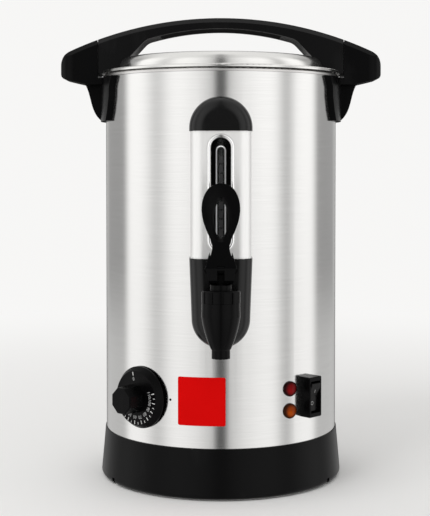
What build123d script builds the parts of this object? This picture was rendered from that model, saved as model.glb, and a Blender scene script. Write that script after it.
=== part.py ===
from build123d import *
from math import acos, atan2, cos, radians, sin, sqrt
import os

# Hot water urn, in millimetres. The origin is on the body's axis, on the surface that the feet stand on.
# +Z is up, the tap faces -Y and +X is to the right of someone standing in front of the tap.

# Clearances
FIT = 0.1  # round pieces fixed to each other
RUN = 0.3  # pieces that move past each other
PIVOT = 0.05  # a shaft in its bearing
OVER = 2.0  # how far a cutting shape runs past what it cuts

# Casing and tank
SHELL_R = 112.0  # outside of the steel casing
SHEET = 0.8  # steel sheet of the casing, tank and lid
TANK_GAP = 9.0  # from the casing's outside to the tank's inside
RIM_Z = 388.0  # top of the tank's rolled rim
RIM_ROLL_OUT = 1.8  # how far the rolled rim stands out from the casing
RIM_ROLL_H = 3.4
RIM_INNER_ROUND = 0.7
RIM_OUTER_ROUND = 1.6
TANK_FLOOR_Z = 132.0
TANK_CORNER = 10.0
FLANGE_W = 15.0  # the casing's bottom flange, turned inward

# Base
BASE_Z = 1.0  # lower edge of the base ring, above the surface
BASE_TOP_Z = 46.5
BASE_LIP = 0.9  # how far the base ring's top stands out from the casing
BASE_FLARE = 4.1  # how much wider the base ring is at its foot
BASE_EDGE_ROUND = 4.0
BASE_WALL = 6.0
LEDGE_Z = 30.0  # ledge inside the base ring that carries the casing
LEDGE_T = 2.5
LEDGE_W = 5.0
NOTCH_W = 5.0
NOTCH_H = 5.5
NOTCH_AZIMUTHS = (-120, -60, 60, 120)
BOSS_R = 5.0
BOSS_IN = 9.0  # from the casing's outside to the bosses' circle
BOSS_ANGLES = (45, 135, 225, 315)
BOSS_WEB_T = 2.5
HOLE_R = 2.2
BOLT_R = 2.0
BOLT_HEAD_R = 4.0
BOLT_HEAD_H = 2.2
BOLT_END = 1.0  # how far a base screw shows past its nut
NUT_AF = 7.0
NUT_T = 3.2
PLATE_Z = 3.0  # underside of the base plate
PLATE_T = 1.2
VENT_L = 26.0
VENT_W = 3.0
VENT_PITCH = 9.0
VENT_COUNT = 5
VENT_X = 38.0
VENT_Y = 45.0
FOOT_R = 10.0
FOOT_TAPER = 1.0
FOOT_STEM_R = 4.0
FOOT_BULB_R = 5.2
FOOT_BULB_H = 3.0
FOOT_TIP_TAPER = 1.0
FOOT_IN = 18.0  # from the casing's outside to the feet's circle
FOOT_ANGLES = (0, 90, 180, 270)

# Lid
LID_GAP = 0.3  # between the tank rim and the lid's edge
BRIM_OUT = 2.2  # how far the lid's brim stands out from the rolled rim
BRIM_H = 2.7
BRIM_ROUND = 1.4
CROWN_IN = 16.0  # from the brim's edge to the crown's side
CROWN_H = 13.0
CROWN_CORNER = 10.0
CROWN_FOOT_ROUND = 1.5
VENT_HOLE_R = 2.0
VENT_HOLE_Y = 70.0
SEAL_FLANGE = 2.0  # how far the seal's flange laps over the tank's rim
SEAL_WALL_IN = 2.1  # from the tank's inside to the seal's inside
SEAL_DEPTH = 7.0
SEAL_ROUND = 0.5

# Bow handle: an arch on the lid that runs on into a grip on each side
BOW_RISE = 38.0  # from the crown to the top of the arch
BOW_DROP = 36.5  # how far its top line falls from the middle to the tips
GRIP_REACH = 43.2  # how far the grips' tips stand out from the casing
BOW_HALF_DEPTH = 22.0
BOW_TIP_ROUND = 18.0
BOW_PLAN_ROUND = 13.0
BOW_UNDER_ROUND = 7.0
BOW_BEVEL = 4.5
GRIP_TIP_DROP = 3.8  # from the tank's rim down to the grips' underside at their tips
GRIP_ROOT_DROP = 6.3  # from there down to where the underside meets the gusset
GRIP_ROOT_OUT = 16.0
ARCH_SEAM_OUT = 3.6  # from the lid's brim to the cylinder on which the arch ends
SEAM_GAP = 0.6
ARCH_T = 10.3
HAND_GAP_R = 250.0
HAND_GAP_IN = 12.0  # from the crown's side to where the opening's slanted ends meet the lid
HAND_GAP_SLOPE = 47.0
HAND_GAP_CORNER = 14.0
LINER_T = 2.0
LINER_HALF_W = 16.0
LINER_HALF_L = 58.0
LID_SCREW_IN = 8.0  # from the brim's edge
LID_SCREW_Y = 12.0
LID_SCREW_R = 1.75
LID_SCREW_HEAD_R = 3.0
LID_SCREW_HEAD_H = 1.3
LID_SCREW_L = 12.0

# Side handles
SADDLE_T = 5.0
SADDLE_DROP = 3.7  # from the tank's rim down to the saddle's top
SADDLE_H = 41.8
SADDLE_EDGES = ((57.0, 0.0), (51.6, 10.3), (51.0, 19.3), (47.3, 32.3), (42.0, SADDLE_H))  # half width, depth
GUSSET_HALF_T = 9.0
GUSSET_CURVE = ((21.0, 3.8), (16.6, 13.3), (13.6, 24.8), (4.4, 40.8))  # out from the casing, depth
HANDLE_SCREW_DEPTHS = (11.3, 29.3)
HANDLE_SCREW_R = 1.75
HANDLE_SCREW_L = 8.0
HOLE_END = 0.5  # how much deeper a screw's hole is than the screw
SCREW_HEAD_R = 3.4
SCREW_HEAD_H = 2.2

# Tap and its shank through the wall
TAP_OUT = 50.0  # tap's upright axis, out from the casing
SHANK_Z = 172.0
SHANK_R = 8.0
SHANK_BORE_R = 4.5
SHANK_COLLAR_R = 10.5
TAP_BODY_R = 16.8
TAP_BELLY = (14.2, 12.7)  # a point on the belly's curve: radius, depth under the shank
TAP_WAIST_R = 8.8
TAP_WAIST_DEPTH = 27.4
TAP_WAIST_STEP = 1.2
TAP_RISE = 12.0  # from the shank to the body's top
TAP_TOP_TAPER = 0.3
TAP_NECK_R = 13.2
TAP_NECK_H = 6.0
CHAMBER_R = 11.0
SEAT_DEPTH = 9.5
SPOUT_R = 7.95
SPOUT_DEPTH = 35.7
SPOUT_BORE_R = 5.5
BONNET_H = 10.5
BONNET_R = 16.0
BONNET_ROUND = 0.8
BONNET_RIB = 0.8
BONNET_RIBS = 12
BONNET_RIB_HALF_ANGLE = 13.2
BONNET_TURN = 21.0
COLLAR_R = 9.2
COLLAR_H = 5.0
COLLAR_ROUND = 0.5
LEVER_PIN_RISE = 12.1  # from the bonnet's collar to the lever's pin
LEVER_PIN_R = 1.5
LEVER_PIN_HALF_L = 14.2
LEVER_L = 73.7  # from the pin to the paddle's top
LEVER_T = 8.0
LEVER_SIDE = ((8.5, 71.3), (13.6, 64.8), (16.4, 52.4), (14.2, 39.4), (9.1, 26.9), (7.4, 18.9), (9.2, 11.9))
LEVER_FLARE_HALF_W = 13.3
LEVER_FLARE_RISE = 1.8
LEVER_LOOP = (5.6, 16.2, 43.2)  # half width, half height and centre of the finger hole, above the pin
LEVER_DISH = 3.0
LEVER_DISH_TAPER = 35.0
LEVER_EAR_R = 3.2
CAM_SHOULDER = 1.8
CAM_TOP_HALF_W = 13.3
CAM_LOW_HALF_W = 9.8
CAM_DEPTH = 5.0  # how far under the collar's top the cam's outline is followed
LEVER_SWING = 45.0  # degrees, from shut to fully open
STEM_LIFT = 3.0  # rise of the stem over the full swing
CAM_POINTS = 6
STEM_R = 3.0
STEM_FOOT = 3.0  # from the cup's sole up to the stem's end
STEM_EYE_R = 5.0
STEM_EYE_T = 5.6
STEM_EYE_GAP = 1.0  # from the collar up to where the eye begins
STEM_DISC_R = 7.5
STEM_DISC_T = 1.5
STEM_DISC_RISE = 8.0  # above the seat
CUP_R = 8.5
CUP_SOLE_TAPER = 2.0
CUP_SOLE_H = 3.0
CUP_ROUND = 0.5
SPRING_R = 5.4
SPRING_WIRE_R = 0.6
SPRING_TURNS = 4.5
SHANK_NUT_T = 6.0
SHANK_NUT_AF = 24.0
SHANK_END = 1.0  # how far the shank shows past its nut
WASHER_R = 13.0
WASHER_T = 2.0

# Sight glass column on the front
COVER_HALF_W = 26.8
COVER_OUT = 24.0  # how far its face stands out from the casing
COVER_ROUND = 11.0
COVER_T = 0.8
COLUMN_ROOT = 12.0  # how far inside the casing's outside a column piece starts before it is cut to the casing
COLUMN_LAP = 4.0  # how far the cover slides into the cap and the shroud
MOULD_T = 1.1  # how far cap and shroud stand proud of the cover
MOULD_WALL = 2.4
CAP_DROP = 57.3  # from the tank's rim down to the cap's lower edge
CAP_STRAIGHT = 2.6
CAP_WEB_RISE = 6.3  # from the cap's lower edge to the web that holds the glass tube's top
WEB_T = 3.0
SHROUD_RISE = 47.0  # from the shank to the shroud's top
SHROUD_BEND_DEPTH = 6.7  # from the shank down to the centre of its round lower end
SHROUD_END_R = 25.9
WINDOW_HALF_W = 8.7
WINDOW_MARGINS = (5.0, 2.7)  # from the shroud up to the bezel, and from the bezel up to the cap
BEZEL_HALF_W = 11.9
BEZEL_T = 1.3
BEZEL_NECK_T = 0.9
BEZEL_GROOVE_W = 0.8
GLASS_R = 4.5
GLASS_BORE_R = 3.4
GLASS_OUT = 15.5  # glass tube's axis, out from the casing
GLASS_RISE = 13.3  # from the cap's lower edge to the glass tube's top
SCALE_WALL = 1.2
SCALE_LAP = 2.0  # how far the scale channel runs past the window at each end
SEAL_WALL = 1.3
SEAL_LIP = 1.0
SEAL_TAIL = 1.0  # how far the upper seal hangs under the web
TEE_R = 12.0
TEE_NECK_R = 7.0
TEE_NECK_H = 6.0
TEE_SOCKET_DEPTH = 8.0
COLUMN_SCREW_X = 17.0
COLUMN_SCREW_L = 7.0
COLUMN_BOSS_R = 3.5
BOSS_SINK = 0.75  # share of the moulding's wall that a boss reaches into
CAP_SCREW_RISE = 11.3
SHROUD_SCREW_RISE = 32.0

# Controls
CONTROL_Z = 88.4
PANEL_CUT = 6.0  # how deep the casing's cut-outs are cut
KNOB_AZIMUTH = -40.4
KNOB_R = 28.3
KNOB_SLOPE = 3.7  # how much smaller the dial's face is than its foot
KNOB_EDGE_H = 1.6
KNOB_EDGE_ROUND = 0.6
KNOB_FACE_ROUND = 0.8
KNOB_GAP = 0.7
SKIRT_H = 7.0
GRIP_ACROSS = 24.5
GRIP_TOP = 27.0  # knob's face, out from the casing
GRIP_TAPER = 2.0
GRIP_CHAMFER = 0.8
GRIP_SINK = 0.5
KNOB_WALL = 2.4
SHAFT_R = 3.0
SHAFT_FLAT = 1.0
SHAFT_SHORT = 6.0  # from the shaft's end to the knob's face
SHAFT_FLAT_GAP = 3.0  # from the bush nut to the shaft's flat
BUSH_R = 5.0
BUSH_END = 1.0  # how far the bush shows past its nut
BUSH_NUT_AF = 13.0
BUSH_NUT_T = 2.4
THERMOSTAT_W = 34.0
THERMOSTAT_D = 24.0
LAMP_AZIMUTH = 34.0
LAMP_PITCH = 20.2
LAMP_DROP = 1.2  # how far the pair's middle lies under the knob's height
LAMP_R = 7.0
LAMP_OUT = 3.6
LAMP_EDGE = 1.6
LAMP_ROUND = 1.5
LAMP_ROOT = 2.0
LAMP_STEM_R = 4.5
LAMP_STEM_L = 12.0
LAMP_NUT_T = 5.0
SWITCH_AZIMUTH = 45.4
SWITCH_W = 17.0
SWITCH_H = 37.0
SWITCH_OUT = 10.0
SWITCH_WALL = 1.9
SWITCH_CORNER = 1.2
SWITCH_CHAMFER = 0.6
SWITCH_ROOT = 3.0
SWITCH_BODY_W = 12.4
SWITCH_BODY_H = 30.0
SWITCH_BODY_D = 20.0
SWITCH_POCKET_D = 9.0
SWITCH_POCKET_WALL = 1.2
SWITCH_STEP = 1.0
ROCKER_HALF_H = 13.5
ROCKER_HORN = 4.8  # height of the rocker's ends above its pivot
ROCKER_DIP = 2.8  # height of its middle
ROCKER_KEEL = 2.4
ROCKER_KEEL_HALF_H = 4.0
ROCKER_ROUND = 1.0
ROCKER_HEEL_ROUND = 2.0
ROCKER_DIP_ROUND = 6.0
ROCKER_PIVOT_OUT = 4.4
ROCKER_WELL_HALF_H = 14.6
ROCKER_WELL_OUT = 1.0  # the well's floor, out from the casing
ROCKER_TILT = 10.0  # each way from the middle
ROCKER_PIN_R = 1.5
ROCKER_PIN_END = 0.8  # how far the pins reach into the housing
INLET_Z = 84.0
INLET_W = 25.0
INLET_H = 50.0
INLET_OUT = 3.2
INLET_ROOT = 3.0
INLET_CORNER = 4.0
INLET_BODY_W = 20.0
INLET_BODY_H = 28.0
INLET_BODY_D = 24.0
INLET_SOCKET_W = 16.0
INLET_SOCKET_H = 24.0
INLET_SOCKET_D = 17.0
INLET_SOCKET_CORNER = 2.0
INLET_SCREW_PITCH = 40.0
INLET_SCREW_HEAD_H = 1.6
PIN_W = 4.0
PIN_T = 2.0
PIN_PITCH = 7.0  # from the socket's middle to each line pin
PIN_EARTH = 4.0  # earth pin's offset to the other side
PIN_SET_BACK = 2.0
PIN_TAIL = 8.0

# Heating
HEAT_PLATE_R = 70.0
HEAT_PLATE_T = 6.0
ELEMENT_R = 52.0
ELEMENT_TUBE_R = 3.3
ELEMENT_SINK = 1.2
ELEMENT_GAP_ANGLE = 50.0
ELEMENT_DROP = 16.0
TAB_W = 6.3
TAB_T = 0.8
TAB_L = 8.0
BULB_R = 3.0
BULB_HALF_L = 30.0
BULB_X = 22.0
CAPILLARY_R = 0.9
CAPILLARY_BEND = 5.0
CAPILLARY_ROOT = 1.0
CAPILLARY_RUN_OUT = 9.0
SENSOR_SIDE_STEP = 4.0
SENSOR_TURN_Y = -46.0
SENSOR_SAG = 15.0
CUTOUT_SENSOR_SAG = 25.0
CUTOUT_SENSOR_OFFSET = (-2.0, 6.0)
CUTOUT_X = 38.0
CUTOUT_Y = 30.0
CUTOUT_W = 30.0
CUTOUT_H = 24.0
BUTTON_R = 4.0
BUTTON_L = 8.0
BUTTON_CHAMFER = 0.5
BUTTON_PROUD = 0.8  # below the base plate
BUTTON_TRAVEL = 1.5

# Places that follow from the sizes above
SHELL_IN_R = SHELL_R - SHEET
TANK_R = SHELL_R - TANK_GAP
TANK_OUT_R = TANK_R + SHEET
RIM_ROLL_R = SHELL_R + RIM_ROLL_OUT
FLANGE_R = SHELL_R - FLANGE_W
BASE_TOP_R = SHELL_R + BASE_LIP
BASE_R = BASE_TOP_R + BASE_FLARE
BASE_IN_R = BASE_R - BASE_WALL
LEDGE_R = BASE_IN_R - LEDGE_W
BOSS_CIRCLE_R = SHELL_R - BOSS_IN
FOOT_CIRCLE_R = SHELL_R - FOOT_IN
PLATE_TOP_Z = PLATE_Z + PLATE_T
BRIM_R = RIM_ROLL_R + BRIM_OUT
BRIM_Z = RIM_Z + LID_GAP
LID_LEDGE_Z = BRIM_Z + BRIM_H
CROWN_R = BRIM_R - CROWN_IN
CROWN_Z = LID_LEDGE_Z + CROWN_H
SEAL_FLANGE_R = TANK_R + SEAL_FLANGE
SEAL_IN_R = TANK_R - SEAL_WALL_IN
LID_SCREW_X = BRIM_R - LID_SCREW_IN
BOW_TOP_Z = CROWN_Z + BOW_RISE
BOW_HALF_SPAN = SHELL_R + GRIP_REACH
BOW_R = (BOW_HALF_SPAN**2 + BOW_DROP**2) / (2 * BOW_DROP)
BOW_CENTRE_Z = BOW_TOP_Z - BOW_R
GRIP_TIP_Z = RIM_Z - GRIP_TIP_DROP
GRIP_ROOT_Z = GRIP_TIP_Z - GRIP_ROOT_DROP
GRIP_ROOT_X = SHELL_R + GRIP_ROOT_OUT
ARCH_SEAM_R = BRIM_R + ARCH_SEAM_OUT
HAND_GAP_TOP_Z = BOW_TOP_Z - ARCH_T
HAND_GAP_CENTRE_Z = HAND_GAP_TOP_Z - HAND_GAP_R
HAND_GAP_HALF = CROWN_R - HAND_GAP_IN
SADDLE_TOP_Z = RIM_Z - SADDLE_DROP
SADDLE_BOTTOM_Z = SADDLE_TOP_Z - SADDLE_H
TAP_Y = -(SHELL_R + TAP_OUT)
TAP_TOP_Z = SHANK_Z + TAP_RISE
SEAT_Z = SHANK_Z - SEAT_DEPTH
SPOUT_Z = SHANK_Z - SPOUT_DEPTH
BONNET_TOP_Z = TAP_TOP_Z + BONNET_H
COLLAR_TOP_Z = BONNET_TOP_Z + COLLAR_H
LEVER_PIN_Z = COLLAR_TOP_Z + LEVER_PIN_RISE
STEM_DISC_Z = SEAT_Z + STEM_DISC_RISE
COVER_FACE = SHELL_R + COVER_OUT
MOULD_FACE = COVER_FACE + MOULD_T
MOULD_HALF_W = COVER_HALF_W + MOULD_T
CAP_Z = RIM_Z - CAP_DROP
CAP_WEB_Z = CAP_Z + CAP_WEB_RISE
CAP_SCREW_Z = CAP_Z + CAP_SCREW_RISE
SHROUD_TOP_Z = SHANK_Z + SHROUD_RISE
SHROUD_BEND_Z = SHANK_Z - SHROUD_BEND_DEPTH
SHROUD_SCREW_Z = SHANK_Z + SHROUD_SCREW_RISE
WINDOW_Z = (SHROUD_TOP_Z + WINDOW_MARGINS[0], CAP_Z - WINDOW_MARGINS[1])
GLASS_Y = -(SHELL_R + GLASS_OUT)
GLASS_TOP_Z = CAP_Z + GLASS_RISE
KNOB_FACE_R = KNOB_R - KNOB_SLOPE
LAMP_Z = CONTROL_Z - LAMP_DROP
FROM_BELOW = (Align.CENTER, Align.CENTER, Align.MIN)


# ---- Shapes used more than once ----


def outline(corners):
    """A flat face; each corner is (across, up, rounding)."""
    points = [corner[:2] for corner in corners]
    return make_face(FilletPolyline(*points, radius=[corner[2] for corner in corners], close=True))


def turned(corners):
    """A solid of revolution about Z; each corner is (radius, height, rounding)."""
    return revolve(Plane.XZ * outline(corners), Axis.Z)


def rod(radius, start, end):
    """A round bar from one point to another."""
    along = Vector(*end) - Vector(*start)
    return Plane(origin=start, z_dir=along).location * Cylinder(radius, along.length, align=FROM_BELOW)


def tube(outer, inner, start, end):
    return rod(outer, start, end) - rod(inner, start, end)


def hexagon(across_flats, start, end):
    """A hexagonal bar from one point to another."""
    along = Vector(*end) - Vector(*start)
    flat = RegularPolygon(across_flats / sqrt(3), 6)
    return Plane(origin=start, z_dir=along).location * extrude(flat, along.length)


def ring(outer, inner, low, high):
    return tube(outer, inner, (0, 0, low), (0, 0, high))


def disc(radius, low, high):
    return rod(radius, (0, 0, low), (0, 0, high))


def block(low, high):
    """A box between two opposite corners."""
    size = [b - a for a, b in zip(low, high)]
    return Pos(*low) * Box(*size, align=(Align.MIN,) * 3)


def on_circle(radius, angle, height=0.0):
    return (radius * cos(radians(angle)), radius * sin(radians(angle)), height)


def on_wall(azimuth, height):
    """A frame on the casing: x to the right, y up, z straight out. Azimuth runs from the front to the right."""
    out = (sin(radians(azimuth)), -cos(radians(azimuth)), 0)
    right = (cos(radians(azimuth)), sin(radians(azimuth)), 0)
    return Plane(origin=(SHELL_R * out[0], SHELL_R * out[1], height), x_dir=right, z_dir=out).location


def body_core(radius):
    """Everything inside a cylinder about the body's axis, for cutting pieces to the casing's curve."""
    return disc(radius, -OVER, BOW_TOP_Z + OVER)


def screw(start, end, radius, head_r, head_h):
    """A pan-head screw whose shank runs from start, under the head, to end."""
    away = (Vector(*start) - Vector(*end)).normalized() * head_h
    return rod(radius, start, end) + rod(head_r, start, tuple(Vector(*start) + away))


# ---- Base ----


def base_ring():
    wall = turned([
        (SHELL_R + FIT, BASE_TOP_Z, 0),
        (BASE_TOP_R, BASE_TOP_Z, 0),
        (BASE_R, BASE_Z, BASE_EDGE_ROUND),
        (BASE_IN_R, BASE_Z, 0),
        (BASE_IN_R, LEDGE_Z - LEDGE_T, 0),
        (LEDGE_R, LEDGE_Z - LEDGE_T, 0),
        (LEDGE_R, LEDGE_Z, 0),
        (SHELL_R + FIT, LEDGE_Z, 0),
    ])
    for angle in BOSS_ANGLES:
        centre = on_circle(BOSS_CIRCLE_R, angle)
        wall += Pos(centre[0], centre[1], 0) * disc(BOSS_R, PLATE_TOP_Z, LEDGE_Z)
        half_t = BOSS_WEB_T / 2
        web = block((BOSS_CIRCLE_R, -half_t, PLATE_TOP_Z), (BASE_IN_R + half_t, half_t, LEDGE_Z))
        wall += Rot(0, 0, angle) * web
        wall -= Pos(centre[0], centre[1], 0) * disc(HOLE_R, 0, LEDGE_Z + OVER)
    for azimuth in NOTCH_AZIMUTHS:
        notch = block((-NOTCH_W / 2, BASE_IN_R - OVER, 0), (NOTCH_W / 2, BASE_R + OVER, BASE_Z + NOTCH_H))
        wall -= Rot(0, 0, 180 + azimuth) * notch
    return wall


def base_plate():
    plate = disc(BASE_IN_R - RUN, PLATE_Z, PLATE_TOP_Z)
    for angle in BOSS_ANGLES:
        plate -= Pos(*on_circle(BOSS_CIRCLE_R, angle)) * disc(HOLE_R, 0, PLATE_TOP_Z + OVER)
    for angle in FOOT_ANGLES:
        plate -= Pos(*on_circle(FOOT_CIRCLE_R, angle)) * disc(FOOT_STEM_R + FIT, 0, PLATE_TOP_Z + OVER)
    for side in (-1, 1):
        for row in range(VENT_COUNT):
            y = VENT_Y * side + (row - (VENT_COUNT - 1) / 2) * VENT_PITCH
            slot = extrude(SlotOverall(VENT_L, VENT_W), PLATE_TOP_Z + OVER)
            plate -= Pos(-VENT_X * side, y, 0) * slot
    plate -= Pos(CUTOUT_X, CUTOUT_Y, 0) * disc(BUTTON_R + RUN, 0, PLATE_TOP_Z + OVER)
    return plate


def feet():
    foot = turned([
        (0, 0, 0),
        (FOOT_R - FOOT_TAPER, 0, 0),
        (FOOT_R, PLATE_Z, 0),
        (FOOT_STEM_R, PLATE_Z, 0),
        (FOOT_STEM_R, PLATE_TOP_Z, 0),
        (FOOT_BULB_R, PLATE_TOP_Z, 0),
        (FOOT_STEM_R - FOOT_TIP_TAPER, PLATE_TOP_Z + FOOT_BULB_H, 0),
        (0, PLATE_TOP_Z + FOOT_BULB_H, 0),
    ])
    return [Pos(*on_circle(FOOT_CIRCLE_R, angle)) * foot for angle in FOOT_ANGLES]


def base_screws():
    top = LEDGE_Z + SHEET + NUT_T + BOLT_END
    screws = []
    for angle in BOSS_ANGLES:
        head = on_circle(BOSS_CIRCLE_R, angle, PLATE_Z)
        screws.append(screw(head, on_circle(BOSS_CIRCLE_R, angle, top), BOLT_R, BOLT_HEAD_R, BOLT_HEAD_H))
    return screws


def base_nuts():
    low = LEDGE_Z + SHEET
    nuts = []
    for angle in BOSS_ANGLES:
        start = on_circle(BOSS_CIRCLE_R, angle, low)
        end = on_circle(BOSS_CIRCLE_R, angle, low + NUT_T)
        nuts.append(hexagon(NUT_AF, start, end) - rod(BOLT_R + PIVOT, start, end))
    return nuts


# ---- Casing and tank ----


def outer_shell():
    top = RIM_Z - SHEET - FIT
    shell = ring(SHELL_R, SHELL_IN_R, LEDGE_Z, top)
    shell += ring(SHELL_IN_R + SHEET / 2, FLANGE_R, LEDGE_Z, LEDGE_Z + SHEET)
    for angle in BOSS_ANGLES:
        shell -= Pos(*on_circle(BOSS_CIRCLE_R, angle)) * disc(HOLE_R, LEDGE_Z - OVER, LEDGE_Z + SHEET + OVER)
    front = -(SHELL_R + OVER)
    behind = -(SHELL_IN_R - PANEL_CUT)
    shell -= rod(SHANK_R + RUN, (0, front, SHANK_Z), (0, behind, SHANK_Z))
    for x in (-COLUMN_SCREW_X, COLUMN_SCREW_X):
        for z in (CAP_SCREW_Z, SHROUD_SCREW_Z):
            shell -= rod(HANDLE_SCREW_R + RUN, (x, front, z), (x, behind, z))
    for z in handle_screw_heights():
        shell -= rod(HANDLE_SCREW_R + RUN, (-SHELL_R - OVER, 0, z), (SHELL_R + OVER, 0, z))
    shell -= on_wall(KNOB_AZIMUTH, CONTROL_Z) * disc(BUSH_R + FIT, -PANEL_CUT, OVER)
    for height in lamp_heights():
        shell -= on_wall(LAMP_AZIMUTH, height) * disc(LAMP_STEM_R + RUN, -PANEL_CUT, OVER)
    half_w, half_h = SWITCH_BODY_W / 2 + FIT, SWITCH_BODY_H / 2 + FIT
    shell -= on_wall(SWITCH_AZIMUTH, CONTROL_Z) * block((-half_w, -half_h, -PANEL_CUT), (half_w, half_h, OVER))
    half_w, half_h = INLET_BODY_W / 2 + FIT, INLET_BODY_H / 2 + FIT
    rear = on_wall(180, INLET_Z)
    shell -= rear * block((-half_w, -half_h, -PANEL_CUT), (half_w, half_h, OVER))
    for side in (-1, 1):
        shell -= rear * Pos(0, side * INLET_SCREW_PITCH / 2, 0) * disc(HANDLE_SCREW_R + FIT, -PANEL_CUT, OVER)
    return shell


def inner_tank():
    wall = turned([
        (0, TANK_FLOOR_Z - SHEET, 0),
        (TANK_OUT_R, TANK_FLOOR_Z - SHEET, TANK_CORNER + SHEET),
        (TANK_OUT_R, RIM_Z - SHEET, 0),
        (RIM_ROLL_R - SHEET, RIM_Z - SHEET, RIM_OUTER_ROUND - SHEET),
        (RIM_ROLL_R - SHEET, RIM_Z - RIM_ROLL_H, 0),
        (RIM_ROLL_R, RIM_Z - RIM_ROLL_H, 0),
        (RIM_ROLL_R, RIM_Z, RIM_OUTER_ROUND),
        (TANK_R, RIM_Z, RIM_INNER_ROUND),
        (TANK_R, TANK_FLOOR_Z, TANK_CORNER),
        (0, TANK_FLOOR_Z, 0),
    ])
    return wall - rod(SHANK_R + FIT, (0, -TANK_OUT_R - OVER, SHANK_Z), (0, -TANK_R + OVER, SHANK_Z))


# ---- Lid ----


def lid_form(grow, low):
    """The lid's outside as one solid down to a height, grown outward by an amount."""
    return turned([
        (0, CROWN_Z + grow, 0),
        (CROWN_R + grow, CROWN_Z + grow, CROWN_CORNER + grow),
        (CROWN_R + grow, LID_LEDGE_Z + grow, CROWN_FOOT_ROUND - grow),
        (BRIM_R + grow, LID_LEDGE_Z + grow, BRIM_ROUND + grow),
        (BRIM_R + grow, low, 0),
        (0, low, 0),
    ])


def lid_pan():
    pan = lid_form(0, BRIM_Z) - lid_form(-SHEET, BRIM_Z - OVER)
    pan -= Pos(0, VENT_HOLE_Y, 0) * disc(VENT_HOLE_R, CROWN_Z - OVER, CROWN_Z + OVER)
    for x, y in lid_screw_places():
        pan -= Pos(x, y, 0) * disc(LID_SCREW_R + FIT, BRIM_Z, LID_LEDGE_Z + OVER)
    return pan


def lid_screw_places():
    return [(x, y) for x in (-LID_SCREW_X, LID_SCREW_X) for y in (-LID_SCREW_Y, LID_SCREW_Y)]


def lid_screws():
    under = LID_LEDGE_Z - SHEET
    return [
        screw((x, y, under), (x, y, under + LID_SCREW_L), LID_SCREW_R, LID_SCREW_HEAD_R, LID_SCREW_HEAD_H)
        for x, y in lid_screw_places()
    ]


def lid_seal():
    flange_low = RIM_Z + RUN / 2
    flange_high = LID_LEDGE_Z - SHEET - RUN
    return turned([
        (SEAL_IN_R, flange_low - SEAL_DEPTH, SEAL_ROUND),
        (TANK_R - RUN, flange_low - SEAL_DEPTH, SEAL_ROUND),
        (TANK_R - RUN, flange_low, 0),
        (SEAL_FLANGE_R, flange_low, 0),
        (SEAL_FLANGE_R, flange_high, SEAL_ROUND),
        (SEAL_IN_R, flange_high, SEAL_ROUND),
    ])


# ---- Bow handle ----


def bow():
    """The whole bow from tip to tip, solid, before it is parted into the arch and the two grips."""
    half = BOW_HALF_SPAN
    band = make_face(Polyline(
        (-half, GRIP_TIP_Z),
        (-GRIP_ROOT_X, GRIP_ROOT_Z),
        (GRIP_ROOT_X, GRIP_ROOT_Z),
        (half, GRIP_TIP_Z),
        (half, BOW_TOP_Z),
        (-half, BOW_TOP_Z),
        close=True,
    ))
    face = band & (Pos(0, BOW_CENTRE_Z) * Circle(BOW_R))
    tips = [vertex for vertex in face.vertices() if abs(vertex.X) > half - 0.01]
    face = fillet([vertex for vertex in tips if vertex.Y > GRIP_TIP_Z + 1], BOW_TIP_ROUND)
    face = fillet([vertex for vertex in face.vertices() if abs(vertex.Y - GRIP_TIP_Z) < 0.01], BOW_UNDER_ROUND)
    prism = extrude(Plane.XZ * face, BOW_HALF_DEPTH + OVER, both=True)
    solid = prism & extrude(RectangleRounded(2 * half, 2 * BOW_HALF_DEPTH, BOW_PLAN_ROUND), BOW_TOP_Z + OVER)
    for side in (-1, 1):
        bevel = make_face(Polyline(
            (side * (BOW_HALF_DEPTH + OVER), BOW_TOP_Z - BOW_BEVEL - OVER),
            (side * (BOW_HALF_DEPTH - BOW_BEVEL - OVER), BOW_TOP_Z + OVER),
            (side * (BOW_HALF_DEPTH + OVER), BOW_TOP_Z + OVER),
            close=True,
        ))
        solid -= revolve(Plane.YZ * bevel, Axis((0, 0, BOW_CENTRE_Z), (0, 1, 0)))
    return solid


def hand_gap():
    """The opening under the arch, seen from the front, as a solid that runs through it."""
    rise = HAND_GAP_TOP_Z - CROWN_Z
    run_in = rise / sin(radians(HAND_GAP_SLOPE)) * cos(radians(HAND_GAP_SLOPE))
    slanted = make_face(Polyline(
        (-HAND_GAP_HALF, SADDLE_TOP_Z),
        (-HAND_GAP_HALF, CROWN_Z),
        (-HAND_GAP_HALF + run_in, HAND_GAP_TOP_Z),
        (HAND_GAP_HALF - run_in, HAND_GAP_TOP_Z),
        (HAND_GAP_HALF, CROWN_Z),
        (HAND_GAP_HALF, SADDLE_TOP_Z),
        close=True,
    ))
    face = slanted & (Pos(0, HAND_GAP_CENTRE_Z) * Circle(HAND_GAP_R))
    face = fillet(face.vertices().sort_by(Axis.Y)[-2:], HAND_GAP_CORNER)
    return extrude(Plane.XZ * face, BOW_HALF_DEPTH + OVER, both=True)


def liner_form(grow):
    """The closing strip under the arch: a bent bar that follows the top of the opening."""
    outer = Pos(0, HAND_GAP_CENTRE_Z) * Circle(HAND_GAP_R + LINER_T + grow)
    inner = Pos(0, HAND_GAP_CENTRE_Z) * Circle(HAND_GAP_R)
    width = 2 * (LINER_HALF_L + grow)
    strip = (outer - inner) & (Pos(0, HAND_GAP_TOP_Z) * Rectangle(width, width))
    return extrude(Plane.XZ * strip, LINER_HALF_W + grow, both=True)


def lid_handle():
    arch = bow() - hand_gap()
    arch &= disc(ARCH_SEAM_R, BRIM_Z, BOW_TOP_Z + OVER)
    arch -= lid_form(FIT, BRIM_Z - OVER)
    arch -= liner_form(FIT)
    for x, y in lid_screw_places():
        top = LID_LEDGE_Z - SHEET + LID_SCREW_L + HOLE_END
        arch -= Pos(x, y, 0) * disc(LID_SCREW_R + PIVOT, BRIM_Z, top)
    return arch


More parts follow.
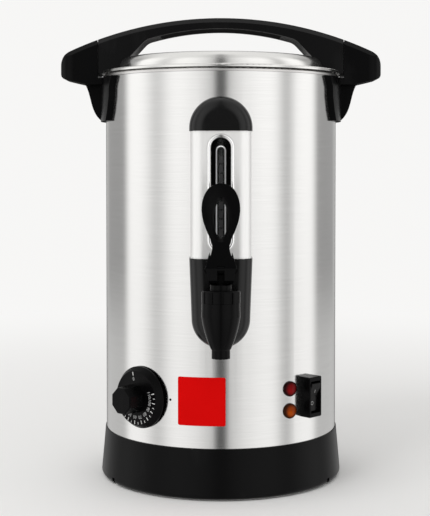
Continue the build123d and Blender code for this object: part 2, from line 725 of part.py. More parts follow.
def lid_handle_liner():
    return liner_form(0)


def handle_screw_heights():
    return [SADDLE_TOP_Z - depth for depth in HANDLE_SCREW_DEPTHS]


def side_handle():
    """The right-hand grip, its gusset and the saddle that wraps the casing, moulded in one."""
    far = BOW_HALF_SPAN + OVER
    grip = bow() & block((0, -far, 0), (far, far, BOW_TOP_Z + OVER))
    grip -= disc(ARCH_SEAM_R + SEAM_GAP, SADDLE_TOP_Z, BOW_TOP_Z + OVER)
    outer = SHELL_R + SADDLE_T
    sides = [(half, SADDLE_TOP_Z - depth) for half, depth in SADDLE_EDGES]
    sides += [(-half, height) for half, height in reversed(sides)]
    saddle = ring(outer, SHELL_R - OVER, SADDLE_BOTTOM_Z, SADDLE_TOP_Z)
    saddle &= extrude(Plane.YZ * make_face(Polyline(*sides, close=True)), outer + OVER)
    edge = [(SHELL_R + out, SADDLE_TOP_Z - depth) for out, depth in GUSSET_CURVE]
    start, end = edge[0], edge[-1]
    root = SHELL_R - OVER
    rest = Polyline(end, (root, end[1]), (root, start[1]), start)
    face = make_face([*Spline(*edge).edges(), *rest.edges()])
    handle = grip + saddle + extrude(Plane.XZ * face, GUSSET_HALF_T, both=True)
    handle -= body_core(SHELL_R + FIT)
    for z in handle_screw_heights():
        deep = SHELL_IN_R + HANDLE_SCREW_L + HOLE_END
        handle -= rod(HANDLE_SCREW_R + PIVOT, (SHELL_R, 0, z), (deep, 0, z))
    return handle


def side_handle_screws():
    screws = []
    for z in handle_screw_heights():
        seat = SHELL_IN_R - FIT
        piece = screw((seat, 0, z), (seat + HANDLE_SCREW_L, 0, z), HANDLE_SCREW_R, SCREW_HEAD_R, SCREW_HEAD_H)
        screws += [piece, mirror(piece, about=Plane.YZ)]
    return screws


# ---- Sight glass column ----


def channel(half_w, face, low, high, rounding):
    """A bar in front of the casing with its two front edges rounded, from one height to another."""
    section = outline([
        (-half_w, -(SHELL_R - COLUMN_ROOT), 0),
        (-half_w, -face, rounding),
        (half_w, -face, rounding),
        (half_w, -(SHELL_R - COLUMN_ROOT), 0),
    ])
    return Pos(0, 0, low) * extrude(section, high - low)


def moulding(open_half_w, open_z, end_half_w, end_z, face, rounding):
    """A bar on the casing's front with one open end and one round end, its front edge rounded all the way."""
    up = 1 if end_z > open_z else -1
    reach = sqrt(open_half_w**2 + (open_z - end_z) ** 2)
    touch = atan2(open_z - end_z, open_half_w) + up * acos(end_half_w / reach)
    x, z = end_half_w * cos(touch), end_z + end_half_w * sin(touch)
    sides = Polyline((-x, z), (-open_half_w, open_z), (open_half_w, open_z), (x, z))
    end = ThreePointArc((x, z), (0, end_z + up * end_half_w), (-x, z))
    seen = make_face([*sides.edges(), *end.edges()])
    bar = extrude(Plane.XZ.offset(SHELL_R - COLUMN_ROOT) * seen, face - SHELL_R + COLUMN_ROOT)
    front = bar.faces().sort_by(Axis.Y)[0].edges()
    return fillet([edge for edge in front if abs(edge.center().Z - open_z) > 0.01], rounding)


def column_cover():
    low = SHROUD_TOP_Z - COLUMN_LAP
    high = CAP_Z + COLUMN_LAP
    cover = channel(COVER_HALF_W, COVER_FACE, low, high, COVER_ROUND)
    cover -= channel(COVER_HALF_W - COVER_T, COVER_FACE - COVER_T, low - OVER, high + OVER, COVER_ROUND - COVER_T)
    cover -= body_core(SHELL_R + FIT)
    return cover - window_prism(WINDOW_HALF_W + BEZEL_NECK_T + FIT)


def window_prism(half_w):
    """An upright slot with round ends, through the cover's face, of one half width and centred on the window."""
    middle = sum(WINDOW_Z) / 2
    length = WINDOW_Z[1] - WINDOW_Z[0] - 2 * (BEZEL_HALF_W - half_w)
    slot = Rot(0, 0, 90) * SlotOverall(length, 2 * half_w)
    front = Plane(origin=(0, -(COVER_FACE + BEZEL_T + OVER), middle), x_dir=(1, 0, 0), z_dir=(0, 1, 0))
    return extrude(front * slot, COVER_OUT)


def facing_slab(near, far):
    """Everything between two distances in front of the body's axis, for slicing pieces that face the front."""
    return block((-SHELL_R, -far, 0), (SHELL_R, -near, BOW_TOP_Z))


def window_bezel():
    back = COVER_FACE + FIT
    face = back + BEZEL_T
    slab = window_prism(BEZEL_HALF_W) & facing_slab(back, face)
    middle_w = (WINDOW_HALF_W + BEZEL_HALF_W) / 2
    groove = window_prism(middle_w + BEZEL_GROOVE_W / 2) - window_prism(middle_w - BEZEL_GROOVE_W / 2)
    slab -= groove & facing_slab(face - BEZEL_T / 2, face + OVER)
    neck = window_prism(WINDOW_HALF_W + BEZEL_NECK_T) & facing_slab(COVER_FACE - COVER_T, back)
    return slab + neck - window_prism(WINDOW_HALF_W)


def scale_channel():
    """The black trough behind the window that the glass tube stands in."""
    half = WINDOW_HALF_W + BEZEL_NECK_T
    back = -GLASS_Y - GLASS_R - RUN
    front = COVER_FACE - COVER_T - FIT
    low, high = WINDOW_Z[0] - SCALE_LAP, WINDOW_Z[1] + SCALE_LAP
    trough = block((-half, -front, low), (half, -(back - SCALE_WALL), high))
    trough -= block((-half + SCALE_WALL, -front - OVER, low - OVER), (half - SCALE_WALL, -back, high + OVER))
    return trough


def sight_tube():
    return tube(GLASS_R, GLASS_BORE_R, (0, GLASS_Y, glass_foot_z()), (0, GLASS_Y, GLASS_TOP_Z))


def glass_foot_z():
    return SHANK_Z + TEE_R + TEE_NECK_H - TEE_SOCKET_DEPTH


def sight_tube_tee():
    """The fitting round the tap's shank that the glass tube stands in."""
    front = -(MOULD_FACE - MOULD_WALL - FIT)
    back = -(SHELL_R + WASHER_T)
    tee = rod(TEE_R, (0, front, SHANK_Z), (0, back, SHANK_Z))
    neck_top = SHANK_Z + TEE_R + TEE_NECK_H
    tee += rod(TEE_NECK_R, (0, GLASS_Y, SHANK_Z), (0, GLASS_Y, neck_top))
    tee -= rod(SHANK_R + FIT, (0, front - OVER, SHANK_Z), (0, back + OVER, SHANK_Z))
    tee -= rod(GLASS_BORE_R, (0, GLASS_Y, SHANK_Z), (0, GLASS_Y, neck_top + OVER))
    return tee - rod(GLASS_R + SEAL_WALL + FIT, (0, GLASS_Y, glass_foot_z()), (0, GLASS_Y, neck_top + OVER))


def sight_tube_seals():
    low = glass_foot_z()
    high = SHANK_Z + TEE_R + TEE_NECK_H
    lower = tube(GLASS_R + SEAL_WALL, GLASS_R + PIVOT, (0, GLASS_Y, low), (0, GLASS_Y, high))
    tail, lip, top = [(0, GLASS_Y, z) for z in (CAP_WEB_Z - SEAL_TAIL, CAP_WEB_Z + WEB_T, GLASS_TOP_Z)]
    upper = tube(GLASS_R + SEAL_WALL, GLASS_R + PIVOT, tail, top)
    upper += tube(GLASS_R + SEAL_WALL + SEAL_LIP, GLASS_R + PIVOT, lip, top)
    return [lower, upper]


def screw_boss(x, z):
    """A boss on the back of a column moulding that takes a screw from inside the casing."""
    return rod(COLUMN_BOSS_R, (x, -(MOULD_FACE - BOSS_SINK * MOULD_WALL), z), (x, -(SHELL_R - COLUMN_ROOT), z))


def column_bosses(piece, z):
    """The moulding with its two screw bosses, cut to the casing's curve and drilled."""
    for x in (-COLUMN_SCREW_X, COLUMN_SCREW_X):
        piece += screw_boss(x, z)
    piece -= body_core(SHELL_R + FIT)
    start = -(SHELL_R - COLUMN_ROOT)
    end = column_screw_seat() - COLUMN_SCREW_L - HOLE_END
    for x in (-COLUMN_SCREW_X, COLUMN_SCREW_X):
        piece -= rod(HANDLE_SCREW_R + PIVOT, (x, start, z), (x, end, z))
    return piece


def column_cap():
    end_z = CAP_Z + CAP_STRAIGHT
    inner_w, inner_face = MOULD_HALF_W - MOULD_WALL, MOULD_FACE - MOULD_WALL
    hollow = moulding(inner_w, CAP_Z - OVER, inner_w, end_z, inner_face, COVER_ROUND - MOULD_T)
    web = hollow & block((-inner_w, -inner_face, CAP_WEB_Z), (inner_w, 0, CAP_WEB_Z + WEB_T))
    cap = moulding(MOULD_HALF_W, CAP_Z, MOULD_HALF_W, end_z, MOULD_FACE, COVER_ROUND + MOULD_T) - hollow + web
    cap -= channel(COVER_HALF_W + FIT, COVER_FACE + FIT, CAP_Z - OVER, CAP_Z + COLUMN_LAP + FIT, COVER_ROUND + FIT)
    cap = column_bosses(cap, CAP_SCREW_Z)
    low, high = CAP_WEB_Z - OVER, CAP_WEB_Z + WEB_T + OVER
    return cap - rod(GLASS_R + SEAL_WALL + FIT, (0, GLASS_Y, low), (0, GLASS_Y, high))


def tap_shroud():
    top, bend = SHROUD_TOP_Z, SHROUD_BEND_Z
    outer = moulding(MOULD_HALF_W, top, SHROUD_END_R, bend, MOULD_FACE, COVER_ROUND + MOULD_T)
    inner_w, inner_end = MOULD_HALF_W - MOULD_WALL, SHROUD_END_R - MOULD_WALL
    hollow = moulding(inner_w, top + OVER, inner_end, bend, MOULD_FACE - MOULD_WALL, COVER_ROUND - MOULD_T)
    shroud = outer - hollow
    shroud -= channel(COVER_HALF_W + FIT, COVER_FACE + FIT, top - COLUMN_LAP - FIT, top + OVER, COVER_ROUND + FIT)
    shroud = column_bosses(shroud, SHROUD_SCREW_Z)
    return shroud - rod(SHANK_R + FIT, (0, -MOULD_FACE - OVER, SHANK_Z), (0, -SHELL_R, SHANK_Z))


def column_screw_seat():
    """Where a column screw's head bears on the inside of the casing."""
    return -sqrt(SHELL_IN_R**2 - (COLUMN_SCREW_X + SCREW_HEAD_R) ** 2) + FIT


def column_screws():
    screws = []
    seat = column_screw_seat()
    end = seat - COLUMN_SCREW_L
    for x in (-COLUMN_SCREW_X, COLUMN_SCREW_X):
        for z in (CAP_SCREW_Z, SHROUD_SCREW_Z):
            screws.append(screw((x, seat, z), (x, end, z), HANDLE_SCREW_R, SCREW_HEAD_R, SCREW_HEAD_H))
    return screws


# ---- Tap ----


def tap_body():
    """The tap's egg-shaped body with its spout, its neck for the bonnet and the shank through the wall."""
    waist_z = SHANK_Z - TAP_WAIST_DEPTH
    belly = ThreePointArc(
        (TAP_BODY_R, SHANK_Z), (TAP_BELLY[0], SHANK_Z - TAP_BELLY[1]), (TAP_WAIST_R, waist_z)
    )
    rest = Polyline(
        (TAP_WAIST_R, waist_z),
        (SPOUT_R, waist_z - TAP_WAIST_STEP),
        (SPOUT_R, SPOUT_Z),
        (0, SPOUT_Z),
        (0, TAP_TOP_Z + TAP_NECK_H),
        (TAP_NECK_R, TAP_TOP_Z + TAP_NECK_H),
        (TAP_NECK_R, TAP_TOP_Z),
        (TAP_BODY_R - TAP_TOP_TAPER, TAP_TOP_Z),
        (TAP_BODY_R, SHANK_Z),
    )
    body = revolve(Plane.XZ * make_face([*belly.edges(), *rest.edges()]), Axis.Z)
    body = Pos(0, TAP_Y, 0) * body
    centre = (0, TAP_Y, SHANK_Z)
    body += rod(SHANK_COLLAR_R, centre, (0, -(MOULD_FACE + FIT), SHANK_Z))
    shank_end = -(TANK_R - WASHER_T - SHANK_NUT_T - SHANK_END)
    body += rod(SHANK_R, centre, (0, shank_end, SHANK_Z))
    body -= rod(SHANK_BORE_R, centre, (0, shank_end + OVER, SHANK_Z))
    body -= rod(GLASS_BORE_R, (0, GLASS_Y, SHANK_Z), (0, GLASS_Y, SHANK_Z + SHANK_R + OVER))
    body -= Pos(0, TAP_Y, 0) * disc(CHAMBER_R, SEAT_Z, TAP_TOP_Z + TAP_NECK_H + OVER)
    return body - Pos(0, TAP_Y, 0) * disc(SPOUT_BORE_R, SPOUT_Z - OVER, SEAT_Z + OVER)


def tap_bonnet():
    """The ribbed nut that closes the tap body, with the collar on top that the lever's cam rides on."""
    nut = turned([
        (0, TAP_TOP_Z + FIT, 0),
        (BONNET_R, TAP_TOP_Z + FIT, 0),
        (BONNET_R, BONNET_TOP_Z, BONNET_ROUND),
        (COLLAR_R, BONNET_TOP_Z, 0),
        (COLLAR_R, COLLAR_TOP_Z, COLLAR_ROUND),
        (0, COLLAR_TOP_Z, 0),
    ])
    pad = ring(BONNET_R + BONNET_RIB, BONNET_R - BONNET_RIB, TAP_TOP_Z + FIT, BONNET_TOP_Z - BONNET_ROUND)
    reach = BONNET_R + BONNET_RIB + OVER
    spread = reach * sin(radians(BONNET_RIB_HALF_ANGLE))
    wedge = extrude(make_face(Polyline((0, 0), (reach, -spread), (reach, spread), close=True)), BONNET_TOP_Z)
    for rib in range(BONNET_RIBS):
        nut += Rot(0, 0, BONNET_TURN + 360 / BONNET_RIBS * rib) * (pad & wedge)
    nut -= disc(TAP_NECK_R + FIT, TAP_TOP_Z, TAP_TOP_Z + TAP_NECK_H + FIT)
    nut -= disc(STEM_R + PIVOT, TAP_TOP_Z, COLLAR_TOP_Z + OVER)
    return Pos(0, TAP_Y, 0) * nut


def bonnet_ceiling_z():
    return TAP_TOP_Z + TAP_NECK_H + FIT


def stem_foot_z():
    return SEAT_Z + RUN + STEM_FOOT


def tap_stem():
    """The sliding stem, with a flat eye on top for the lever's pin and a disc that carries the seat cup."""
    stem = disc(STEM_R, stem_foot_z(), LEVER_PIN_Z)
    stem += disc(STEM_DISC_R, STEM_DISC_Z, STEM_DISC_Z + STEM_DISC_T)
    half_t = STEM_EYE_T / 2
    stem += rod(STEM_EYE_R, (-half_t, 0, LEVER_PIN_Z), (half_t, 0, LEVER_PIN_Z))
    stem += block((-half_t, -STEM_R, COLLAR_TOP_Z + STEM_EYE_GAP), (half_t, STEM_R, LEVER_PIN_Z))
    stem -= rod(LEVER_PIN_R + FIT, (-half_t - OVER, 0, LEVER_PIN_Z), (half_t + OVER, 0, LEVER_PIN_Z))
    return Pos(0, TAP_Y, 0) * stem


def seat_cup():
    """The silicone cup on the stem's foot that shuts the spout."""
    low = SEAT_Z + RUN / 2
    cup = turned([
        (0, low, 0),
        (CUP_R - CUP_SOLE_TAPER, low, 0),
        (CUP_R, low + CUP_SOLE_H, CUP_ROUND),
        (CUP_R, STEM_DISC_Z, 0),
        (0, STEM_DISC_Z, 0),
    ])
    return Pos(0, TAP_Y, 0) * (cup - disc(STEM_R + FIT, stem_foot_z() - FIT, STEM_DISC_Z + OVER))


def tap_spring():
    low = STEM_DISC_Z + STEM_DISC_T + SPRING_WIRE_R + FIT
    high = bonnet_ceiling_z() - SPRING_WIRE_R - FIT
    path = Helix(pitch=(high - low) / SPRING_TURNS, height=high - low, radius=SPRING_R)
    section = Plane(origin=path @ 0, z_dir=path % 0) * Circle(SPRING_WIRE_R)
    return Pos(0, TAP_Y, low) * sweep(section, path=path)


def lever_pin():
    return rod(LEVER_PIN_R, (-LEVER_PIN_HALF_L, TAP_Y, LEVER_PIN_Z), (LEVER_PIN_HALF_L, TAP_Y, LEVER_PIN_Z))


def cam_outline():
    """The cam seen from the side, about its pin. Its reach, and so the lift, grows evenly with the swing."""
    rate = STEM_LIFT / radians(LEVER_SWING)
    rest_reach = LEVER_PIN_Z - COLLAR_TOP_Z - RUN
    curve = []
    for step in range(CAM_POINTS):
        turn = radians(LEVER_SWING) * step / (CAM_POINTS - 1)
        reach = rest_reach + rate * turn
        curve.append((-reach * sin(turn) - rate * cos(turn), -reach * cos(turn) + rate * sin(turn)))
    front = Spline(*curve)
    rear = Spline(*[(-y, z) for y, z in curve])
    tip = curve[-1]
    top = Polyline(tip, (-STEM_EYE_R, CAM_SHOULDER), (STEM_EYE_R, CAM_SHOULDER), (-tip[0], tip[1]))
    flat = Line(curve[0], (-curve[0][0], curve[0][1]))
    return make_face([*front.edges(), *rear.edges(), *top.edges(), *flat.edges()])


def tap_lever():
    """The paddle with its finger hole, flared to two cheeks that straddle the stem and end in cams."""
    side = [(0, LEVER_L), *LEVER_SIDE, (LEVER_FLARE_HALF_W, LEVER_FLARE_RISE)]
    right = Spline(*side, tangents=[(1, 0), (0.25, -1)])
    left = Spline(*[(-x, z) for x, z in side], tangents=[(-1, 0), (-0.25, -1)])
    foot = Line((-LEVER_FLARE_HALF_W, LEVER_FLARE_RISE), (LEVER_FLARE_HALF_W, LEVER_FLARE_RISE))
    blade = extrude(Plane.XZ * make_face([*right.edges(), *left.edges(), *foot.edges()]), LEVER_T / 2, both=True)
    half_w, half_h, middle = LEVER_LOOP
    dish = extrude(Ellipse(half_w + LEVER_DISH, half_h + LEVER_DISH), LEVER_T / 2, taper=LEVER_DISH_TAPER)
    for turn in (0, 180):
        blade -= Pos(0, 0, middle) * Rot(0, 0, turn) * Pos(0, -LEVER_T / 2, 0) * Rot(-90, 0, 0) * dish
    blade -= Pos(0, 0, middle) * Rot(90, 0, 0) * extrude(Ellipse(half_w, half_h), LEVER_T, both=True)
    collar = COLLAR_TOP_Z - LEVER_PIN_Z
    low = collar - CAM_DEPTH
    high = CAM_SHOULDER + OVER
    front_view = make_face(Polyline(
        (-CAM_TOP_HALF_W, high),
        (CAM_TOP_HALF_W, high),
        (CAM_LOW_HALF_W, collar),
        (CAM_LOW_HALF_W, low),
        (-CAM_LOW_HALF_W, low),
        (-CAM_LOW_HALF_W, collar),
        close=True,
    ))
    wide = LEVER_FLARE_HALF_W
    cam = extrude(Plane.YZ * cam_outline(), wide, both=True)
    cam &= extrude(Plane.XZ * front_view, LEVER_L, both=True)
    lever = blade + cam + rod(LEVER_EAR_R, (-wide, 0, 0), (wide, 0, 0))
    slot_half = STEM_EYE_T / 2 + RUN
    lever -= block((-slot_half, -LEVER_L, low - OVER), (slot_half, LEVER_L, 0))
    lever -= rod(STEM_EYE_R + RUN, (-slot_half, 0, 0), (slot_half, 0, 0))
    lever -= rod(LEVER_PIN_R + PIVOT, (-wide - OVER, 0, 0), (wide + OVER, 0, 0))
    return Pos(0, TAP_Y, LEVER_PIN_Z) * lever


def tap_shank_nut():
    front = -(TANK_R - WASHER_T)
    back = front + SHANK_NUT_T
    nut = hexagon(SHANK_NUT_AF, (0, front, SHANK_Z), (0, back, SHANK_Z))
    return nut - rod(SHANK_R + PIVOT, (0, front, SHANK_Z), (0, back, SHANK_Z))


def shank_washer(near, far):
    """A washer round the tap's shank between two distances in front of the body's axis."""
    return tube(WASHER_R, SHANK_R + FIT, (0, -far, SHANK_Z), (0, -near, SHANK_Z))


def tap_washers():
    """The seals on the shank: one outside the casing, a spacer in the gap and one inside the tank."""
    outside = shank_washer(SHELL_R - TANK_GAP / 2, SHELL_R + WASHER_T) - body_core(SHELL_R + FIT)
    spacer = shank_washer(TANK_R, SHELL_R) & body_core(SHELL_IN_R - FIT)
    spacer -= body_core(TANK_OUT_R + FIT)
    inside = shank_washer(TANK_R - WASHER_T, TANK_R) & body_core(TANK_R - FIT)
    return [outside, spacer, inside]


# ---- Controls ----


def behind_casing(half):
    """How far behind the casing's outside a flat piece of a half width lies when it touches the casing inside."""
    return sqrt((SHELL_IN_R - FIT) ** 2 - half**2) - SHELL_R


def lamp_heights():
    return (LAMP_Z + LAMP_PITCH / 2, LAMP_Z - LAMP_PITCH / 2)


def thermostat_body():
    frame = on_wall(KNOB_AZIMUTH, CONTROL_Z)
    half = THERMOSTAT_W / 2
    front = behind_casing(half)
    case = block((-half, -half, front - THERMOSTAT_D), (half, half, front))
    case += disc(BUSH_R, front, BUSH_NUT_T + BUSH_END)
    case -= disc(SHAFT_R + PIVOT, front - THERMOSTAT_D / 2, BUSH_NUT_T + OVER)
    return frame * case


def thermostat_nut():
    nut = hexagon(BUSH_NUT_AF, (0, 0, FIT), (0, 0, FIT + BUSH_NUT_T))
    return on_wall(KNOB_AZIMUTH, CONTROL_Z) * (nut - disc(BUSH_R + PIVOT, 0, BUSH_NUT_T + OVER))


def shaft_flat(clearance):
    """What is cut off the shaft to make its flat, which starts past the bush's nut."""
    start = BUSH_NUT_T + SHAFT_FLAT_GAP
    far = SHAFT_R + OVER
    return block((SHAFT_R - SHAFT_FLAT + clearance, -far, start), (far, far, GRIP_TOP))


def thermostat_shaft():
    shaft = disc(SHAFT_R, -THERMOSTAT_D / 2, GRIP_TOP - SHAFT_SHORT)
    return on_wall(KNOB_AZIMUTH, CONTROL_Z) * (shaft - shaft_flat(0))


def thermostat_knob():
    """The dial skirt with the eight-sided grip on it, hollow underneath, with a boss for the shaft."""
    face = KNOB_GAP + SKIRT_H
    skirt = turned([
        (0, KNOB_GAP, 0),
        (KNOB_R, KNOB_GAP, 0),
        (KNOB_R, KNOB_GAP + KNOB_EDGE_H, KNOB_EDGE_ROUND),
        (KNOB_FACE_R, face, KNOB_FACE_ROUND),
        (0, face, 0),
    ])
    polygon = RegularPolygon(GRIP_ACROSS / 2, 8, major_radius=False, rotation=22.5)
    grip = Pos(0, 0, face - GRIP_SINK) * extrude(polygon, GRIP_TOP - face + GRIP_SINK, taper=GRIP_TAPER)
    grip = chamfer(grip.faces().sort_by(Axis.Z)[-1].edges(), GRIP_CHAMFER)
    hollow = disc(KNOB_FACE_R - KNOB_WALL, 0, face - KNOB_WALL)
    boss = disc(SHAFT_R + KNOB_WALL, BUSH_NUT_T + BUSH_END + RUN, face)
    bore = disc(SHAFT_R + PIVOT, 0, GRIP_TOP - SHAFT_SHORT + FIT)
    knob = skirt - hollow + boss + grip - (bore - shaft_flat(PIVOT))
    return on_wall(KNOB_AZIMUTH, CONTROL_Z) * knob


def lamp(height):
    """A domed lens with the stem that goes through the casing."""
    lens = turned([
        (0, -LAMP_STEM_L, 0),
        (LAMP_STEM_R, -LAMP_STEM_L, 0),
        (LAMP_STEM_R, -LAMP_ROOT, 0),
        (LAMP_R, -LAMP_ROOT, 0),
        (LAMP_R, LAMP_OUT - LAMP_EDGE, LAMP_ROUND),
        (0, LAMP_OUT, 0),
    ])
    proud = on_wall(LAMP_AZIMUTH, height) * lens
    stem = on_wall(LAMP_AZIMUTH, height) * disc(LAMP_STEM_R, -LAMP_STEM_L, LAMP_OUT - LAMP_EDGE)
    return (proud - body_core(SHELL_R + PIVOT)) + stem


def red_lamp():
    return lamp(lamp_heights()[0])


def amber_lamp():
    return lamp(lamp_heights()[1])


def lamp_holders():
    """The nut behind the casing on each lamp's stem."""
    seat = behind_casing(LAMP_R)
    nut = ring(LAMP_R, LAMP_STEM_R + PIVOT, seat - LAMP_NUT_T, seat)
    return [on_wall(LAMP_AZIMUTH, height) * nut for height in lamp_heights()]


def switch_housing():
    """The deep frame of the rocker switch and its body behind the casing."""
    frame = on_wall(SWITCH_AZIMUTH, CONTROL_Z)
    section = RectangleRounded(SWITCH_W, SWITCH_H, SWITCH_CORNER)
    outer = Pos(0, 0, -SWITCH_ROOT) * extrude(section, SWITCH_OUT + SWITCH_ROOT)
    outer = chamfer(outer.faces().sort_by(Axis.Z)[-1].edges(), SWITCH_CHAMFER)
    half_w, half_h = SWITCH_BODY_W / 2, SWITCH_BODY_H / 2
    body = block((-half_w, -half_h, -SWITCH_BODY_D), (half_w, half_h, ROCKER_WELL_OUT))
    housing = (frame * outer - body_core(SHELL_R + FIT)) + frame * body
    well_w, well_h = SWITCH_W / 2 - SWITCH_WALL, ROCKER_WELL_HALF_H
    well = block((-well_w, -well_h, ROCKER_WELL_OUT), (well_w, well_h, SWITCH_OUT + OVER))
    inner_w, inner_h = half_w - SWITCH_POCKET_WALL, well_h - SWITCH_STEP
    pocket = block((-inner_w, -inner_h, -SWITCH_POCKET_D), (inner_w, inner_h, ROCKER_WELL_OUT + OVER))
    pin_w = well_w + SWITCH_STEP
    pins = rod(ROCKER_PIN_R + PIVOT, (-pin_w, 0, ROCKER_PIVOT_OUT), (pin_w, 0, ROCKER_PIVOT_OUT))
    return housing - frame * (well + pocket + pins)


def switch_rocker():
    """The rocker, pressed at its lower end: a shallow V face, curved ends and a pivot pin at each side."""
    well_w = SWITCH_W / 2 - SWITCH_WALL
    half_h = ROCKER_HALF_H
    profile = outline([
        (-half_h, ROCKER_HORN, ROCKER_ROUND),
        (0, ROCKER_DIP, ROCKER_DIP_ROUND),
        (half_h, ROCKER_HORN, ROCKER_ROUND),
        (half_h, 0, ROCKER_HEEL_ROUND),
        (ROCKER_KEEL_HALF_H, -ROCKER_KEEL, ROCKER_ROUND),
        (-ROCKER_KEEL_HALF_H, -ROCKER_KEEL, ROCKER_ROUND),
        (-half_h, 0, ROCKER_HEEL_ROUND),
    ])
    rocker = extrude(Plane.YZ * profile, well_w - RUN, both=True)
    pin_w = well_w + ROCKER_PIN_END
    rocker += rod(ROCKER_PIN_R, (-pin_w, 0, 0), (pin_w, 0, 0))
    return on_wall(SWITCH_AZIMUTH, CONTROL_Z) * Pos(0, 0, ROCKER_PIVOT_OUT) * Rot(ROCKER_TILT, 0, 0) * rocker


def power_inlet():
    """The three-pin appliance inlet at the back: an upright flange with a socket in it."""
    frame = on_wall(180, INLET_Z)
    section = RectangleRounded(INLET_W, INLET_H, INLET_CORNER)
    flange = Pos(0, 0, -INLET_ROOT) * extrude(section, INLET_OUT + INLET_ROOT)
    half_w, half_h = INLET_BODY_W / 2, INLET_BODY_H / 2
    body = block((-half_w, -half_h, -INLET_BODY_D), (half_w, half_h, INLET_OUT / 2))
    inlet = (frame * flange - body_core(SHELL_R + FIT)) + frame * body
    opening = RectangleRounded(INLET_SOCKET_W, INLET_SOCKET_H, INLET_SOCKET_CORNER)
    inlet -= frame * Pos(0, 0, INLET_OUT - INLET_SOCKET_D) * extrude(opening, INLET_SOCKET_D + OVER)
    for side in (-1, 1):
        hole = disc(HANDLE_SCREW_R + FIT, -INLET_ROOT - OVER, INLET_OUT + OVER)
        inlet -= frame * Pos(0, side * INLET_SCREW_PITCH / 2, 0) * hole
    for low, high in pin_boxes(PIVOT):
        inlet -= frame * block(low, high)
    return inlet


def pin_boxes(grow):
    """Opposite corners of the inlet's three pins, in its own frame: two in a column, one beside them."""
    tail = -INLET_BODY_D - PIN_TAIL
    tip = INLET_OUT - PIN_SET_BACK
    boxes = []
    for x, y in ((-PIN_EARTH / 2, -PIN_PITCH), (-PIN_EARTH / 2, PIN_PITCH), (PIN_EARTH, 0)):
        low = (x - PIN_T / 2 - grow, y - PIN_W / 2 - grow, tail)
        high = (x + PIN_T / 2 + grow, y + PIN_W / 2 + grow, tip)
        boxes.append((low, high))
    return boxes


def inlet_pins():
    return [on_wall(180, INLET_Z) * block(low, high) for low, high in pin_boxes(0)]


def inlet_screws():
    screws = []
    for side in (-1, 1):
        y = side * INLET_SCREW_PITCH / 2
        end = (0, y, INLET_OUT - HANDLE_SCREW_L)
        piece = screw((0, y, INLET_OUT), end, HANDLE_SCREW_R, SCREW_HEAD_R, INLET_SCREW_HEAD_H)
        screws.append(on_wall(180, INLET_Z) * piece)
    return screws


# ---- Heating ----


def heat_plate_low_z():
    return TANK_FLOOR_Z - SHEET - HEAT_PLATE_T


def element_z():
    return heat_plate_low_z() - ELEMENT_TUBE_R + ELEMENT_SINK


def heating_plate():
    plate = disc(HEAT_PLATE_R, heat_plate_low_z(), TANK_FLOOR_Z - SHEET)
    groove = Pos(0, 0, element_z()) * Torus(ELEMENT_R, ELEMENT_TUBE_R + PIVOT)
    return plate - groove


def heating_element():
    """A horseshoe tube under the plate whose two ends turn down to the terminals."""
    sweep_angle = 360 - ELEMENT_GAP_ANGLE
    start = 90 + ELEMENT_GAP_ANGLE / 2
    section = Plane.XZ * (Pos(ELEMENT_R, element_z()) * Circle(ELEMENT_TUBE_R))
    tube_ring = Rot(0, 0, start) * revolve(section, Axis.Z, sweep_angle)
    for angle in (start, start + sweep_angle):
        place = on_circle(ELEMENT_R, angle, element_z())
        tube_ring += Pos(*place) * Sphere(ELEMENT_TUBE_R)
        tube_ring += rod(ELEMENT_TUBE_R, place, (place[0], place[1], place[2] - ELEMENT_DROP))
    return tube_ring


def element_terminals():
    tabs = []
    low = element_z() - ELEMENT_DROP - TAB_L
    for side in (-1, 1):
        x, y, _ = on_circle(ELEMENT_R, 90 + side * ELEMENT_GAP_ANGLE / 2)
        tab = block((-TAB_W / 2, -TAB_T / 2, low), (TAB_W / 2, TAB_T / 2, low + TAB_L))
        tabs.append(Pos(x, y, 0) * tab)
    return tabs


def sensor(bulb_x, end, path):
    """A thin tube along a route, starting from one end of the fat sensing bulb under the heating plate."""
    z = heat_plate_low_z() - BULB_R - PIVOT
    bulb = rod(BULB_R, (bulb_x, -BULB_HALF_L, z), (bulb_x, BULB_HALF_L, z))
    root = (bulb_x, end * (BULB_HALF_L - CAPILLARY_ROOT), z)
    out = (bulb_x, end * (BULB_HALF_L + CAPILLARY_RUN_OUT), z)
    line = FilletPolyline(root, out, *path, radius=CAPILLARY_BEND)
    section = Plane(origin=line @ 0, z_dir=line % 0) * Circle(CAPILLARY_R)
    return bulb + sweep(section, path=line)


def thermostat_sensor():
    half = THERMOSTAT_W / 2
    middle = behind_casing(half) - THERMOSTAT_D / 2
    end = (on_wall(KNOB_AZIMUTH, CONTROL_Z) * Pos(0, half + PIVOT, middle)).position
    turn = (-BULB_X - SENSOR_SIDE_STEP, SENSOR_TURN_Y, heat_plate_low_z() - SENSOR_SAG)
    return sensor(-BULB_X, -1, [turn, (end.X, end.Y, end.Z + CAPILLARY_RUN_OUT), (end.X, end.Y, end.Z)])


def cutout_sensor():
    x, y = CUTOUT_X + CUTOUT_SENSOR_OFFSET[0], CUTOUT_Y + CUTOUT_SENSOR_OFFSET[1]
    top = PLATE_TOP_Z + CUTOUT_H + PIVOT
    return sensor(BULB_X, 1, [(x, y, heat_plate_low_z() - CUTOUT_SENSOR_SAG), (x, y, top)])


def thermal_cutout():
    """The resettable cut-out that stands on the base plate, with its button's bore opening downwards."""
    half = CUTOUT_W / 2
    case = block((-half, -half, PLATE_TOP_Z), (half, half, PLATE_TOP_Z + CUTOUT_H))
    depth = PLATE_Z - BUTTON_PROUD + BUTTON_L + BUTTON_TRAVEL + RUN
    case -= disc(BUTTON_R + PIVOT, 0, depth)
    return Pos(CUTOUT_X, CUTOUT_Y, 0) * case


